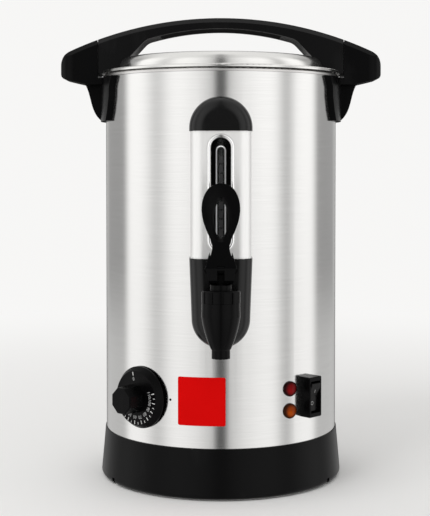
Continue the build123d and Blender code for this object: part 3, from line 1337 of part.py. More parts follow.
def reset_button():
    low = PLATE_Z - BUTTON_PROUD
    button = chamfer(disc(BUTTON_R, low, low + BUTTON_L).edges().group_by(Axis.Z)[0], BUTTON_CHAMFER)
    return Pos(CUTOUT_X, CUTOUT_Y, 0) * button


# ---- The whole urn ----

PIECES = {
    "base_ring": base_ring,
    "base_plate": base_plate,
    "feet": feet,
    "base_screws": base_screws,
    "base_nuts": base_nuts,
    "outer_shell": outer_shell,
    "inner_tank": inner_tank,
    "lid_pan": lid_pan,
    "lid_seal": lid_seal,
    "lid_screws": lid_screws,
    "lid_handle": lid_handle,
    "lid_handle_liner": lid_handle_liner,
    "right_side_handle": side_handle,
    "left_side_handle": lambda: mirror(side_handle(), about=Plane.YZ),
    "side_handle_screws": side_handle_screws,
    "column_cover": column_cover,
    "column_cap": column_cap,
    "column_screws": column_screws,
    "window_bezel": window_bezel,
    "scale_channel": scale_channel,
    "sight_tube": sight_tube,
    "sight_tube_tee": sight_tube_tee,
    "sight_tube_seals": sight_tube_seals,
    "tap_shroud": tap_shroud,
    "tap_body": tap_body,
    "tap_bonnet": tap_bonnet,
    "tap_stem": tap_stem,
    "seat_cup": seat_cup,
    "tap_spring": tap_spring,
    "lever_pin": lever_pin,
    "tap_lever": tap_lever,
    "tap_shank_nut": tap_shank_nut,
    "tap_washers": tap_washers,
    "thermostat_body": thermostat_body,
    "thermostat_nut": thermostat_nut,
    "thermostat_shaft": thermostat_shaft,
    "thermostat_knob": thermostat_knob,
    "thermostat_sensor": thermostat_sensor,
    "red_lamp": red_lamp,
    "amber_lamp": amber_lamp,
    "lamp_holders": lamp_holders,
    "switch_housing": switch_housing,
    "switch_rocker": switch_rocker,
    "power_inlet": power_inlet,
    "inlet_pins": inlet_pins,
    "inlet_screws": inlet_screws,
    "heating_plate": heating_plate,
    "heating_element": heating_element,
    "element_terminals": element_terminals,
    "thermal_cutout": thermal_cutout,
    "cutout_sensor": cutout_sensor,
    "reset_button": reset_button,
}


def write_parts():
    os.makedirs("parts", exist_ok=True)
    for name, make in PIECES.items():
        made = make()
        solids = [s for piece in (made if isinstance(made, list) else [made]) for s in piece.solids()]
        export_step(solids[0] if len(solids) == 1 else Compound(solids), f"parts/{name}.step")


write_parts()
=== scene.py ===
from math import cos, pi, radians, sin, sqrt, tau

import bmesh
import bpy
from mathutils import Matrix, Vector
from mathutils.bvhtree import BVHTree


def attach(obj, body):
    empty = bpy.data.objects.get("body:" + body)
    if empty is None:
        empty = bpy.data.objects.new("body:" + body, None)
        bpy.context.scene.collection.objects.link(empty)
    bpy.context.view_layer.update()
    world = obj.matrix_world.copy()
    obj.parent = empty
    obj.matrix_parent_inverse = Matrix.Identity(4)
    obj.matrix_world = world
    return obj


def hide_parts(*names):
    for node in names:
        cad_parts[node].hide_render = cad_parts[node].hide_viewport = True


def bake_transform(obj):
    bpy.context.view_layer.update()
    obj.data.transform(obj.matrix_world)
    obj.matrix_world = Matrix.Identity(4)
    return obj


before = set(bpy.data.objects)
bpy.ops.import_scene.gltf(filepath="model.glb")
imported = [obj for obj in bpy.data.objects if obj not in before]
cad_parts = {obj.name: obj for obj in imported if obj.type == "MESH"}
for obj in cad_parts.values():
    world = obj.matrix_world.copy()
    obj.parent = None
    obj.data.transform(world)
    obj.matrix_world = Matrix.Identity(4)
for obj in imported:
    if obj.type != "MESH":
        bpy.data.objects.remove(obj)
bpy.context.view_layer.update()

MM = 0.001
SHELL_R = 112.0 * MM

# Where things are on the casing: degrees round it from the tap, then the height in mm.
KNOB = (-40.4, 88.4)
SWITCH = (45.4, 88.4)
RED_LAMP = (34.0, 97.3)
AMBER_LAMP = (34.0, 77.1)
PLATE = (-9.0, 88.9)
DOT = (-24.0, 89.2)

# The lamps' lenses, in mm: the radius, the ribs' turn per mm, and where the painted glow of the
# bulb lies.
LAMP_R = 7.0
RIB_TURN = 5.2
BULB_RIGHT = 0.6
BULB_DOWN = 2.4
BULB_R = (1.2, 4.4)

# The bare plate and the index dot beside the dial, in mm.
PLATE_SIZE = (43.8, 43.9)
PLATE_CORNER = 1.6
PLATE_LIFT = 0.55
PLATE_SOFT = 0.7
PLATE_SUNK = 0.03
PLATE_PARTS = 18
EDGE_LINES = [0, 0.2, 0.5, 0.9]
CORNER_END = PLATE_CORNER + 0.8
DOT_R = 1.1
DOT_RISE = 0.5
DOT_STEPS = 24
DOT_PROFILE = [(1.0, -0.05), (0.98, 0.35), (0.86, 0.72), (0.62, 0.92), (0.3, 1.0)]

# The dial's print: angles in degrees, the rest in mm. A tick has two radii and a width.
FIGURES = ("110", "100", "90", "80", "70", "60", "50", "40", "30")
FIRST_FIGURE = 16.0
FIGURE_STEP = -21.9
ZERO_ANGLE = 99.0
FIGURE_R = 17.4
FIGURE_SIZE = 4.4
FIGURE_BOLD = 0.012
LONG_TICK = (20.6, 24.0, 0.75)
SHORT_TICK = (21.8, 24.0, 0.55)

# The rocker's marks, in mm from its middle: a ring and an upright bar.
RING_AT = (-1.6, -5.9)
RING_R = 1.5
RING_WIDTH = 0.55
RING_STEPS = 28
BAR_HALF_W = 0.3
BAR_HEIGHTS = (3.6, 6.6)

# The sight tube's painted highlight, an arch along its edges and over its top, and the level
# marks printed on it, in mm.
TUBE_Y = -127.5
ARCH_HALF_W = 3.9
ARCH_LOW = 224.0
ARCH_SPRING = 313.4
ARCH_WIDTH = 1.1
ARCH_STEPS = 16
ARCH_LEG_STEPS = 12
LEVELS = 10
LEVEL_TOP = 309.0
LEVEL_STEP = 8.0
LEVEL_H = 6.6
LEVEL_SIDES = (-1.6, 1.8)

# The bead round the window, in mm.
BEZEL_FACE = 137.4
BEAD_FOOT = 0.3
BEAD_RISE = 1.1
BEAD_R = 10.3
BEAD_HALF_W = 1.5
BEAD_MIDDLE_Z = 276.0
BEAD_REACH = 40.1
BEAD_END_STEPS = 16
BEAD_STEPS = 10

# The tap's return spring, in mm.
TAP_Y = -162.0
COIL_R = 5.4
WIRE_R = 0.6
COIL_TURNS = 4.5
COIL_STEPS = 120
WIRE_SIDES = 8

# How far off its surface each print and the tube's painted highlight lie, in mm, and how far out
# the search for them starts.
DIAL_LIFT = 0.06
ROCKER_LIFT = 0.05
ARCH_LIFT = 0.04
LEVEL_LIFT = 0.03
SEARCH_OUT = 60.0

EVEN = (1, 1, 1)
EDGE_SOFT = 0.4

# Black plastics: colour, roughness, scale of the texture, its depth in mm, specular level.
PLASTICS = {
    "black_satin": ((0.0026, 0.0026, 0.0028), 0.24, 1500.0, 0.003, 0.14),
    "black_matt": ((0.0026, 0.0026, 0.0028), 0.26, 1500.0, 0.003, 0.08),
    "black_moulding": ((0.0024, 0.0024, 0.0026), 0.18, 1200.0, 0.002, 0.32),
    "black_smooth": ((0.002, 0.002, 0.0022), 0.24, 900.0, 0.002, 0.06),
    "black_gloss": ((0.0022, 0.0022, 0.0024), 0.19, 600.0, 0.001, 0.07),
    "black_lining": ((0.0016, 0.0016, 0.0018), 0.5, 900.0, 0.003, 0.01),
}

# Metals: darkest and lightest tone, roughness, then the grain's scale, stretch and depth in mm.
METALS = {
    "tank_steel": ((0.62, 0.61, 0.60), (0.71, 0.70, 0.69), 0.3, 40.0, (1, 1, 20), 0.004),
    "plate_steel": ((0.50, 0.50, 0.49), (0.58, 0.58, 0.57), 0.42, 180.0, EVEN, 0.004),
    "screw_steel": ((0.62, 0.62, 0.60), (0.74, 0.74, 0.72), 0.26, 300.0, EVEN, 0.004),
    "spring_wire": ((0.48, 0.47, 0.45), (0.58, 0.57, 0.55), 0.3, 300.0, EVEN, 0.004),
    "chrome_rim": ((0.90, 0.90, 0.90), (0.95, 0.95, 0.95), 0.15, 300.0, EVEN, 0.0005),
    "cast_aluminium": ((0.70, 0.70, 0.70), (0.80, 0.80, 0.80), 0.45, 500.0, EVEN, 0.02),
    "turned_brass": ((0.66, 0.50, 0.24), (0.76, 0.60, 0.32), 0.27, 60.0, (1, 1, 8), 0.004),
    "copper_bulb": ((0.66, 0.36, 0.22), (0.76, 0.46, 0.32), 0.3, 180.0, EVEN, 0.004),
}

# Soft mouldings: darkest and lightest tone, roughness.
MOULDINGS = {
    "foot_rubber": ((0.035, 0.035, 0.036), (0.055, 0.055, 0.055), 0.7),
    "silicone": ((0.70, 0.70, 0.68), (0.80, 0.80, 0.79), 0.45),
    "white_moulding": ((0.78, 0.76, 0.70), (0.84, 0.82, 0.77), 0.4),
}

# Lenses: the lamp's place, then the tone at the rim with painted shade, in the middle, and before
# the bulb with a painted glow.
LENSES = {
    "red_lens": (RED_LAMP, (0.016, 0.0, 0.0), (0.17, 0.0, 0.001), (0.24, 0.001, 0.002)),
    "amber_lens": (AMBER_LAMP, (0.030, 0.006, 0.0), (0.27, 0.038, 0.0), (0.42, 0.068, 0.001)),
}

# Inks: darkest and lightest tone, strength of the painted glow.
INKS = {
    "white_ink": ((0.72, 0.72, 0.71), (0.80, 0.80, 0.79), 0.0),
    "grey_ink": ((0.34, 0.34, 0.34), (0.42, 0.42, 0.42), 0.0),
    "figure_ink": ((0.36, 0.36, 0.36), (0.46, 0.46, 0.46), 0.0),
    # The tube's painted highlight, not an ink: a pale band with a painted glow where the glass
    # tube's edges catch the light.
    "gauge_ink": ((0.80, 0.80, 0.80), (0.88, 0.88, 0.88), 0.3),
    "dark_ink": ((0.020, 0.020, 0.021), (0.030, 0.030, 0.031), 0.0),
}

WORN_BY = {
    "brushed_casing": ["outer_shell"],
    "brushed_cover": ["column_cover"],
    "spun_lid": ["lid_pan"],
    "tank_steel": ["inner_tank"],
    "plate_steel": ["base_plate", "heating_element"],
    "screw_steel": [
        "base_screws",
        "base_nuts",
        "lid_screws",
        "side_handle_screws",
        "column_screws",
        "thermostat_nut",
        "inlet_screws",
        "element_terminals",
    ],
    "spring_wire": ["tap_spring"],
    "chrome_rim": ["window_bezel"],
    "cast_aluminium": ["heating_plate"],
    "turned_brass": ["sight_tube_tee", "tap_shank_nut", "thermostat_shaft", "inlet_pins"],
    "copper_bulb": ["thermostat_sensor", "cutout_sensor"],
    "clear_glass": ["sight_tube"],
    "silicone": ["lid_seal", "sight_tube_seals", "seat_cup", "tap_washers"],
    "foot_rubber": ["feet"],
    "black_satin": ["lid_handle", "switch_rocker"],
    "black_matt": ["base_ring"],
    "black_moulding": ["column_cap", "tap_shroud"],
    "black_lining": ["lid_handle_liner"],
    "black_smooth": [
        "thermostat_knob",
        "switch_housing",
        "right_side_handle",
        "left_side_handle",
        "scale_channel",
        "lamp_holders",
        "power_inlet",
        "tap_stem",
        "lever_pin",
    ],
    "black_gloss": ["tap_body", "tap_bonnet", "tap_lever"],
    "white_moulding": ["thermostat_body", "thermal_cutout"],
    "red_lens": ["red_lamp"],
    "amber_lens": ["amber_lamp"],
    "red_enamel": ["reset_button"],
}

# Light: the backdrop's colour and strength, the light on matt surfaces, the reflected room.
BACKDROP = (1.0, 0.995, 0.985)
BACKDROP_LIGHT = 0.93
MATT_LIGHT = 0.80
ROOM_LIGHT = 1.42


# ---------------------------------------------------------------- shader maths


class Value:
    """A socket's output that can be used in plain expressions."""

    def __init__(self, tree, socket):
        self.tree = tree
        self.socket = socket

    def maths(self, operation, *values):
        node = self.tree.nodes.new("ShaderNodeMath")
        node.operation = operation
        for place, value in zip(node.inputs, values):
            join(self.tree, place, value)
        return Value(self.tree, node.outputs[0])

    def __add__(self, other):
        return self.maths("ADD", self, other)

    def __radd__(self, other):
        return self.maths("ADD", other, self)

    def __sub__(self, other):
        return self.maths("SUBTRACT", self, other)

    def __rsub__(self, other):
        return self.maths("SUBTRACT", other, self)

    def __mul__(self, other):
        return self.maths("MULTIPLY", self, other)

    def __rmul__(self, other):
        return self.maths("MULTIPLY", other, self)

    def __truediv__(self, other):
        return self.maths("DIVIDE", self, other)

    def __rtruediv__(self, other):
        return self.maths("DIVIDE", other, self)

    def __pow__(self, other):
        return self.maths("POWER", self, other)

    def __abs__(self):
        return self.maths("ABSOLUTE", self)

    def least(self, other):
        return self.maths("MINIMUM", self, other)

    def most(self, other):
        return self.maths("MAXIMUM", self, other)

    def root(self):
        return self.maths("SQRT", self)

    def sine(self):
        return self.maths("SINE", self)

    def bell(self, centre, width):
        """1 at the centre, and off to 0 on both sides of it."""
        off = (self - centre) / width
        return self.maths("EXPONENT", 0 - off * off)

    def rise(self, low, high):
        """0 up to low, 1 from high on, and a smooth step between them."""
        t = self.maths("MULTIPLY_ADD", self, 1 / (high - low), -low / (high - low))
        t = t.most(0.0).least(1.0)
        return t * t * (3 - 2 * t)


def join(tree, place, value):
    if isinstance(value, Value):
        tree.links.new(value.socket, place)
    elif hasattr(place, "default_value"):
        place.default_value = value


class Tree:
    """The nodes of one material or of the world."""

    def __init__(self, owner):
        owner.use_nodes = True
        self.tree = owner.node_tree
        self.tree.nodes.clear()

    def node(self, kind, settings=(), inputs=(), out=0):
        node = self.tree.nodes.new(kind)
        for name, setting in dict(settings).items():
            setattr(node, name, setting)
        for name, value in dict(inputs).items():
            join(self.tree, node.inputs[name], value)
        return Value(self.tree, node.outputs[out]) if node.outputs else None

    def parts(self, vector):
        """The x, y and z of a vector."""
        apart = self.node("ShaderNodeSeparateXYZ", inputs={0: vector})
        return [Value(self.tree, socket) for socket in apart.socket.node.outputs]

    def place(self):
        """Position in metres in the urn's own frame, as three values."""
        return self.parts(self.node("ShaderNodeTexCoord", out="Object"))

    def grain(self, scale, stretch=EVEN, detail=2.0):
        """Noise whose cells are 1 / (scale * stretch) metres across."""
        coordinates = self.node("ShaderNodeTexCoord", out="Object")
        longer = self.node("ShaderNodeMapping", {}, {"Vector": coordinates, "Scale": stretch})
        return self.node(
            "ShaderNodeTexNoise", {}, {"Vector": longer, "Scale": scale, "Detail": detail}
        )

    def blend(self, factor, first, second):
        """A mix of two colours; each is either three numbers or a value."""
        return self.node(
            "ShaderNodeMix",
            {"data_type": "RGBA"},
            {"Factor": factor, 6: rgba(first), 7: rgba(second)},
            out=2,
        )

    def bump(self, height, depth_mm, base=None):
        inputs = {"Height": height, "Strength": 1.0, "Distance": depth_mm * MM}
        if base:
            inputs["Normal"] = base
        return self.node("ShaderNodeBump", {}, inputs)

    def end(self, shader, kind="ShaderNodeOutputMaterial"):
        self.node(kind, {}, {"Surface": shader})


def rgba(colour):
    return colour if isinstance(colour, Value) else (*colour, 1.0)


class Finish(Tree):
    """One material of the urn."""

    def __init__(self, name):
        self.material = bpy.data.materials.new(name)
        super().__init__(self.material)

    def surface(self, **inputs):
        named = {name.replace("_", " "): value for name, value in inputs.items()}
        self.end(self.node("ShaderNodeBsdfPrincipled", {}, named))
        return self.material


# ---------------------------------------------------------------- finishes


def brushed_casing():
    """The casing's steel: its grain runs round the urn."""
    f = Finish("brushed_casing")
    lines = f.grain(26.0, (1, 1, 46), 3.0)
    clouds = f.grain(9.0, (1, 1, 0.6))
    return f.surface(
        Base_Color=f.blend(lines, (0.665, 0.662, 0.655), (0.755, 0.752, 0.746)),
        Metallic=1.0,
        Roughness=0.10 + 0.05 * lines + 0.02 * clouds,
        Anisotropic=0.6,
        Normal=f.bump(lines, 0.002),
    )


def brushed_cover():
    """The column's steel: its grain runs up, so it spreads light sideways."""
    f = Finish("brushed_cover")
    lines = f.grain(30.0, (40, 40, 1), 3.0)
    return f.surface(
        Base_Color=f.blend(lines, (0.88, 0.878, 0.87), (0.97, 0.968, 0.96)),
        Metallic=1.0,
        Roughness=0.48 + 0.08 * lines,
        Normal=f.bump(lines, 0.002),
    )


def spun_lid():
    """The lid's steel, with rings round its middle."""
    f = Finish("spun_lid")
    x, y, _ = f.place()
    rings = f.node(
        "ShaderNodeTexNoise",
        {"noise_dimensions": "1D"},
        {"W": (x * x + y * y).root(), "Scale": 900.0, "Detail": 2.0},
    )
    clouds = f.grain(12.0)
    return f.surface(
        Base_Color=f.blend(rings, (0.69, 0.685, 0.67), (0.77, 0.765, 0.75)),
        Metallic=1.0,
        Roughness=0.15 + 0.05 * rings + 0.04 * clouds,
        Normal=f.bump(rings, 0.002),
    )


def plain_metal(name, low, high, rough, scale, stretch, depth_mm):
    f = Finish(name)
    fine = f.grain(scale, stretch, 3.0)
    clouds = f.grain(22.0)
    return f.surface(
        Base_Color=f.blend(0.6 * fine + 0.4 * clouds, low, high),
        Metallic=1.0,
        Roughness=rough - 0.05 + 0.1 * fine,
        Normal=f.bump(fine, depth_mm),
    )


def black_plastic(name, colour, rough, texture, depth_mm, specular):
    """Moulded plastic: a spark texture, a few handling marks and softened edges."""
    f = Finish(name)
    spark = f.grain(texture, detail=1.0)
    marks = f.grain(38.0, (1, 1, 0.4), 4.0)
    dusty = marks.rise(0.56, 0.75)
    paler = tuple(c + 0.003 for c in colour)
    soft = f.node("ShaderNodeBevel", {"samples": 4}, {"Radius": EDGE_SOFT * MM})
    return f.surface(
        Base_Color=f.blend(dusty, colour, paler),
        Roughness=rough + 0.06 * spark + 0.05 * dusty,
        Specular_IOR_Level=specular,
        Normal=f.bump(spark, depth_mm, soft),
    )


def soft_moulding(name, low, high, rough):
    f = Finish(name)
    fine = f.grain(700.0)
    clouds = f.grain(45.0)
    return f.surface(
        Base_Color=f.blend(clouds, low, high),
        Roughness=rough + 0.08 * fine,
        Specular_IOR_Level=0.3,
        Normal=f.bump(fine, 0.01),
    )


def clear_glass():
    f = Finish("clear_glass")
    film = f.grain(60.0, (1, 1, 0.3), 3.0)
    return f.surface(
        Base_Color=f.blend(film, (0.05, 0.055, 0.055), (0.08, 0.085, 0.085)),
        Roughness=0.04 + 0.04 * film,
        Alpha=0.10 + 0.04 * film,
    )


def lamp_lens(name, spot, rim_shade, bright, bulb_glow):
    """A coloured lens with painted light: dark round its rim as painted shade, brighter where the
    bulb is behind it as a painted glow.
    """
    f = Finish(name)
    x, y, z = f.place()
    centre = wall_point(spot)
    off = ((x - centre.x) ** 2.0 + (y - centre.y) ** 2.0 + (z - centre.z) ** 2.0).root() / MM
    rim = off.rise(LAMP_R * 0.55, LAMP_R * 0.98)
    ribs = 0.5 + 0.5 * (off * RIB_TURN).sine()
    side = (x - centre.x) / MM - BULB_RIGHT
    down = (z - centre.z) / MM + BULB_DOWN
    bulb = 1 - (side * side + down * down).root().rise(*BULB_R)
    return f.surface(
        # Painted light: painted shade darkens the rim, and a painted glow of the bulb brightens
        # the spot before it.
        Base_Color=f.blend(rim, f.blend(bulb, bright, bulb_glow), rim_shade),
        Roughness=0.16 + 0.04 * ribs,
        Specular_IOR_Level=0.07,
        Normal=f.bump(ribs, 0.01),
    )


def red_enamel():
    f = Finish("red_enamel")
    fine = f.grain(420.0)
    clouds = f.grain(30.0)
    return f.surface(
        Base_Color=f.blend(clouds, (0.63, 0.0, 0.0), (0.72, 0.001, 0.001)),
        Roughness=0.44 + 0.08 * fine,
        Specular_IOR_Level=0.05,
        Normal=f.bump(fine, 0.003),
    )


def print_ink(name, low, high, painted_glow):
    f = Finish(name)
    fine = f.grain(500.0, detail=3.0)
    tone = f.blend(fine, low, high)
    return f.surface(
        Base_Color=tone,
        Roughness=0.45 + 0.1 * fine,
        Specular_IOR_Level=0.3,
        Emission_Color=tone,
        # The emission is a painted glow; only the tube's painted highlight has one.
        Emission_Strength=painted_glow,
    )


def dress():
    """Gives every solid its finish, and returns all the finishes by name."""
    finishes = {
        "brushed_casing": brushed_casing(),
        "brushed_cover": brushed_cover(),
        "spun_lid": spun_lid(),
        "clear_glass": clear_glass(),
        "red_enamel": red_enamel(),
    }
    tables = (
        (PLASTICS, black_plastic),
        (METALS, plain_metal),
        (MOULDINGS, soft_moulding),
        (LENSES, lamp_lens),
        (INKS, print_ink),
    )
    for table, make in tables:
        for name, facts in table.items():
            finishes[name] = make(name, *facts)
    for name, nodes in WORN_BY.items():
        for node in nodes:
            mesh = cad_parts[node].data
            mesh.materials.clear()
            mesh.materials.append(finishes[name])
    left = set(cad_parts) - {node for nodes in WORN_BY.values() for node in nodes}
    if left:
        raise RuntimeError(f"no finish for {sorted(left)}")
    return finishes


# ---------------------------------------------------------------- places and pieces


def wall_axes(azimuth):
    """To the right, up and outwards at an angle round the casing."""
    a = radians(azimuth)
    right = Vector((cos(a), sin(a), 0))
    out = Vector((sin(a), -cos(a), 0))
    return right, Vector((0, 0, 1)), out


def wall_point(spot):
    azimuth, height = spot
    out = wall_axes(azimuth)[2]
    return out * SHELL_R + Vector((0, 0, height * MM))


def on_casing(spot, u, v, rise):
    """The point u round the casing and v up from a spot, rise out of the wall, all in mm."""
    azimuth, level = spot
    a = radians(azimuth) + u * MM / SHELL_R
    r = SHELL_R + rise * MM
    return (r * sin(a), -r * cos(a), (level + v) * MM)


def surface_of(node):
    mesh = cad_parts[node].data
    points = [v.co.copy() for v in mesh.vertices]
    return BVHTree.FromPolygons(points, [list(p.vertices) for p in mesh.polygons])


def laid_on(surface, origin, axes, u, v, lift):
    """The point of a surface that lies behind (u, v), both in metres, and a little above it."""
    right, up, out = axes
    hit = surface.ray_cast(origin + right * u + up * v + out * (SEARCH_OUT * MM), -out)[0]
    if hit is None:
        hit = origin + right * u + up * v
    return hit + out * lift


def new_piece(name, bm, material, body):
    """An object of the mesh, which rides a body unless body is None."""
    mesh = bpy.data.meshes.new(name)
    bmesh.ops.recalc_face_normals(bm, faces=bm.faces)
    bm.to_mesh(mesh)
    bm.free()
    mesh.materials.append(material)
    for polygon in mesh.polygons:
        polygon.use_smooth = True
    piece = bpy.data.objects.new(name, mesh)
    bpy.context.scene.collection.objects.link(piece)
    if body:
        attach(piece, body)
    return piece


def sheet(bm, rows):
    """Faces between neighbouring rows of vertices."""
    for a, b in zip(rows, rows[1:]):
        for i in range(len(a) - 1):
            bm.faces.new((a[i], a[i + 1], b[i + 1], b[i]))


def flat_bar(bm, x0, x1, y0, y1, parts=(2, 2)):
    """A flat rectangle in mm, cut into a grid so that it can bend."""
    nx, ny = parts
    rows = [
        [
            bm.verts.new(((x0 + (x1 - x0) * i / nx) * MM, (y0 + (y1 - y0) * j / ny) * MM, 0))
            for i in range(nx + 1)
        ]
        for j in range(ny + 1)
    ]
    sheet(bm, rows)


def flat_band(bm, points, width):
    """A flat band in mm, of even width along points given as (x, y, normal x, normal y)."""
    half = width / 2
    rows = [
        [bm.verts.new(((x + nx * off) * MM, (y + ny * off) * MM, 0)) for off in (-half, half)]
        for x, y, nx, ny in points
    ]
    sheet(bm, rows)


def arc(x, y, r, start, turn, steps):
    """Points of a flat_band along an arc, its angles in radians."""
    angles = [start + turn * i / steps for i in range(steps + 1)]
    return [(x + r * cos(a), y + r * sin(a), cos(a), sin(a)) for a in angles]


def figure(text, size):
    """A number as a flat mesh, its middle at the origin."""
    curve = bpy.data.curves.new("figure", "FONT")
    curve.body = text
    curve.size = size
    curve.offset = size * FIGURE_BOLD
    curve.align_x = "CENTER"
    curve.align_y = "CENTER"
    curve.resolution_u = 3
    holder = bpy.data.objects.new("figure", curve)
    bpy.context.scene.collection.objects.link(holder)
    shaped = holder.evaluated_get(bpy.context.evaluated_depsgraph_get())
    mesh = bpy.data.meshes.new_from_object(shaped)
    bpy.data.objects.remove(holder)
    bpy.data.curves.remove(curve)
    return mesh


def add_part(bm, part):
    mesh = bpy.data.meshes.new("part")
    part.to_mesh(mesh)
    part.free()
    bm.from_mesh(mesh)
    bpy.data.meshes.remove(mesh)


def print_on(name, bm, node, origin, axes, lift_mm, material, body, slot):
    """Lays a flat mesh on the surface of a solid."""
    surface = surface_of(node)
    for v in bm.verts:
        v.co = laid_on(surface, origin, axes, v.co.x, v.co.y, lift_mm * MM)
    return new_piece(name, bm, material, body)


def dial_print(tick_ink, figure_ink):
    """The knob's scale: long and short ticks, a 0 and the figures 30 to 110."""
    ticks, figures = bmesh.new(), bmesh.new()

    def tick(angle, shape):
        inner, outer, width = shape
        part = bmesh.new()
        flat_bar(part, inner, outer, -width / 2, width / 2, (3, 1))
        part.transform(Matrix.Rotation(radians(angle), 4, "Z"))
        add_part(ticks, part)

    def number(text, angle):
        a = radians(angle)
        part = bmesh.new()
        part.from_mesh(figure(text, FIGURE_SIZE * MM))
        shift = Matrix.Translation((FIGURE_R * cos(a) * MM, FIGURE_R * sin(a) * MM, 0))
        part.transform(shift @ Matrix.Rotation(a - pi / 2, 4, "Z"))
        add_part(figures, part)

    for i, text in enumerate(FIGURES):
        angle = FIRST_FIGURE + FIGURE_STEP * i
        tick(angle, LONG_TICK)
        number(text, angle)
        if text != FIGURES[-1]:
            tick(angle + FIGURE_STEP / 2, SHORT_TICK)
    tick(ZERO_ANGLE, LONG_TICK)
    number("0", ZERO_ANGLE)
    for name, bm, ink in (
        ("dial_print", ticks, tick_ink),
        ("dial_figures", figures, figure_ink),
    ):
        print_on(
            name,
            bm,
            "thermostat_knob",
            wall_point(KNOB),
            wall_axes(KNOB[0]),
            DIAL_LIFT,
            ink,
            "knob",
            "white_plastic",
        )


def rocker_marks(ink):
    bm = bmesh.new()
    flat_band(bm, arc(*RING_AT, RING_R, 0, tau, RING_STEPS), RING_WIDTH)
    flat_bar(bm, -BAR_HALF_W, BAR_HALF_W, *BAR_HEIGHTS)
    print_on(
        "rocker_marks",
        bm,
        "switch_rocker",
        wall_point(SWITCH),
        wall_axes(SWITCH[0]),
        ROCKER_LIFT,
        ink,
        "rocker",
        "white_plastic",
    )


def tube_print(pale, dark):
    """A painted highlight along the glass tube's edges and over its top, in an arch, and the
    level marks printed on the front of the tube.
    """
    front = (Vector((0, TUBE_Y * MM, 0)), wall_axes(0))
    leg = [
        ARCH_LOW + (ARCH_SPRING - ARCH_LOW) * i / ARCH_LEG_STEPS
        for i in range(ARCH_LEG_STEPS + 1)
    ]
    line = [(-ARCH_HALF_W, z, -1, 0) for z in leg]
    line += arc(0, ARCH_SPRING, ARCH_HALF_W, pi, -pi, ARCH_STEPS)[1:-1]
    line += [(ARCH_HALF_W, z, 1, 0) for z in reversed(leg)]
    arch = bmesh.new()
    flat_band(arch, line, ARCH_WIDTH)
    # The arch is a painted highlight of the glass tube's edges and top, not print on it.
    print_on("tube_highlight_arch", arch, "sight_tube", *front, ARCH_LIFT, pale, "urn", "white_plastic")
    marks = bmesh.new()
    for i in range(LEVELS):
        top = LEVEL_TOP - LEVEL_STEP * i
        flat_bar(marks, *LEVEL_SIDES, top - LEVEL_H, top, (4, 4))
    print_on("tube_levels", marks, "sight_tube", *front, LEVEL_LIFT, dark, "urn", "black_plain")


def window_trim(material):
    """A half-round bead that runs round the window on the face of its bezel."""
    bm = bmesh.new()
    rings = []
    for end, start in ((1, 0), (-1, pi)):
        for i in range(BEAD_END_STEPS + 1):
            a = start + pi * i / BEAD_END_STEPS
            ring = []
            for j in range(BEAD_STEPS + 1):
                t = pi * j / BEAD_STEPS
                r = BEAD_R + BEAD_HALF_W * cos(t)
                depth = BEZEL_FACE - BEAD_FOOT + (BEAD_RISE + BEAD_FOOT) * sin(t)
                z = BEAD_MIDDLE_Z + end * BEAD_REACH + r * sin(a)
                ring.append(bm.verts.new((r * cos(a) * MM, -depth * MM, z * MM)))
            rings.append(ring)
    sheet(bm, rings + rings[:1])
    new_piece("window_trim", bm, material, "urn")


def return_spring(material):
    """The tap's spring, built as a fixed coil; on the real tap its foot goes up with the stem
    while its top stays under the bonnet.
    """
    heights = [v.co.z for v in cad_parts["tap_spring"].data.vertices]
    foot, top = min(heights), max(heights)
    low, high = foot + WIRE_R * MM, top - WIRE_R * MM
    axis_y, coil_r, wire_r = TAP_Y * MM, COIL_R * MM, WIRE_R * MM
    bm = bmesh.new()
    rings = []
    for i in range(COIL_STEPS + 1):
        t = i / COIL_STEPS
        a = tau * COIL_TURNS * t
        middle = Vector((coil_r * cos(a), axis_y + coil_r * sin(a), low + (high - low) * t))
        out = Vector((cos(a), sin(a), 0))
        ring = []
        for j in range(WIRE_SIDES):
            b = tau * j / WIRE_SIDES
            across = out * (wire_r * cos(b)) + Vector((0, 0, wire_r * sin(b)))
            ring.append(bm.verts.new(middle + across))
        rings.append(ring)
    sheet(bm, [ring + ring[:1] for ring in rings])
    bm.faces.new(rings[0])
    bm.faces.new(rings[-1])
    spring = new_piece("return_spring", bm, material, None)
    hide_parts("tap_spring")
    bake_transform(spring)


def bare_plate(material):
    """A thin plate with rounded corners and edges, bent to the casing."""
    width, height = PLATE_SIZE

    def lines(length):
        ends = EDGE_LINES + [PLATE_CORNER, CORNER_END]
        rest = length - 2 * ends[-1]
        inner = [ends[-1] + rest * i / PLATE_PARTS for i in range(1, PLATE_PARTS)]
        near = [line - length / 2 for line in ends + inner]
        return near + [length / 2 - line for line in reversed(ends)]

    def edge_point(u, v):
        """Where a grid point goes, and how far it then is from the plate's edge."""
        over_u, over_v = abs(u) - (width / 2 - PLATE_CORNER), abs(v) - (height / 2 - PLATE_CORNER)
        if over_u <= 0 or over_v <= 0:
            return u, v, min(width / 2 - abs(u), height / 2 - abs(v))
        reach = max(over_u, over_v)
        far = sqrt(over_u * over_u + over_v * over_v)
        u = (width / 2 - PLATE_CORNER + over_u * reach / far) * (1 if u > 0 else -1)
        v = (height / 2 - PLATE_CORNER + over_v * reach / far) * (1 if v > 0 else -1)
        return u, v, PLATE_CORNER - reach

    bm = bmesh.new()
    rows = []
    for v in lines(height):
        row = []
        for u in lines(width):
            u, level, inside = edge_point(u, v)
            t = max(0.0, min(inside / PLATE_SOFT, 1.0))
            rise = PLATE_LIFT * sqrt(1 - (1 - t) ** 2) - PLATE_SUNK
            row.append(bm.verts.new(on_casing(PLATE, u, level, rise)))
        rows.append(row)
    sheet(bm, rows)
    new_piece("bare_plate", bm, material, "urn")


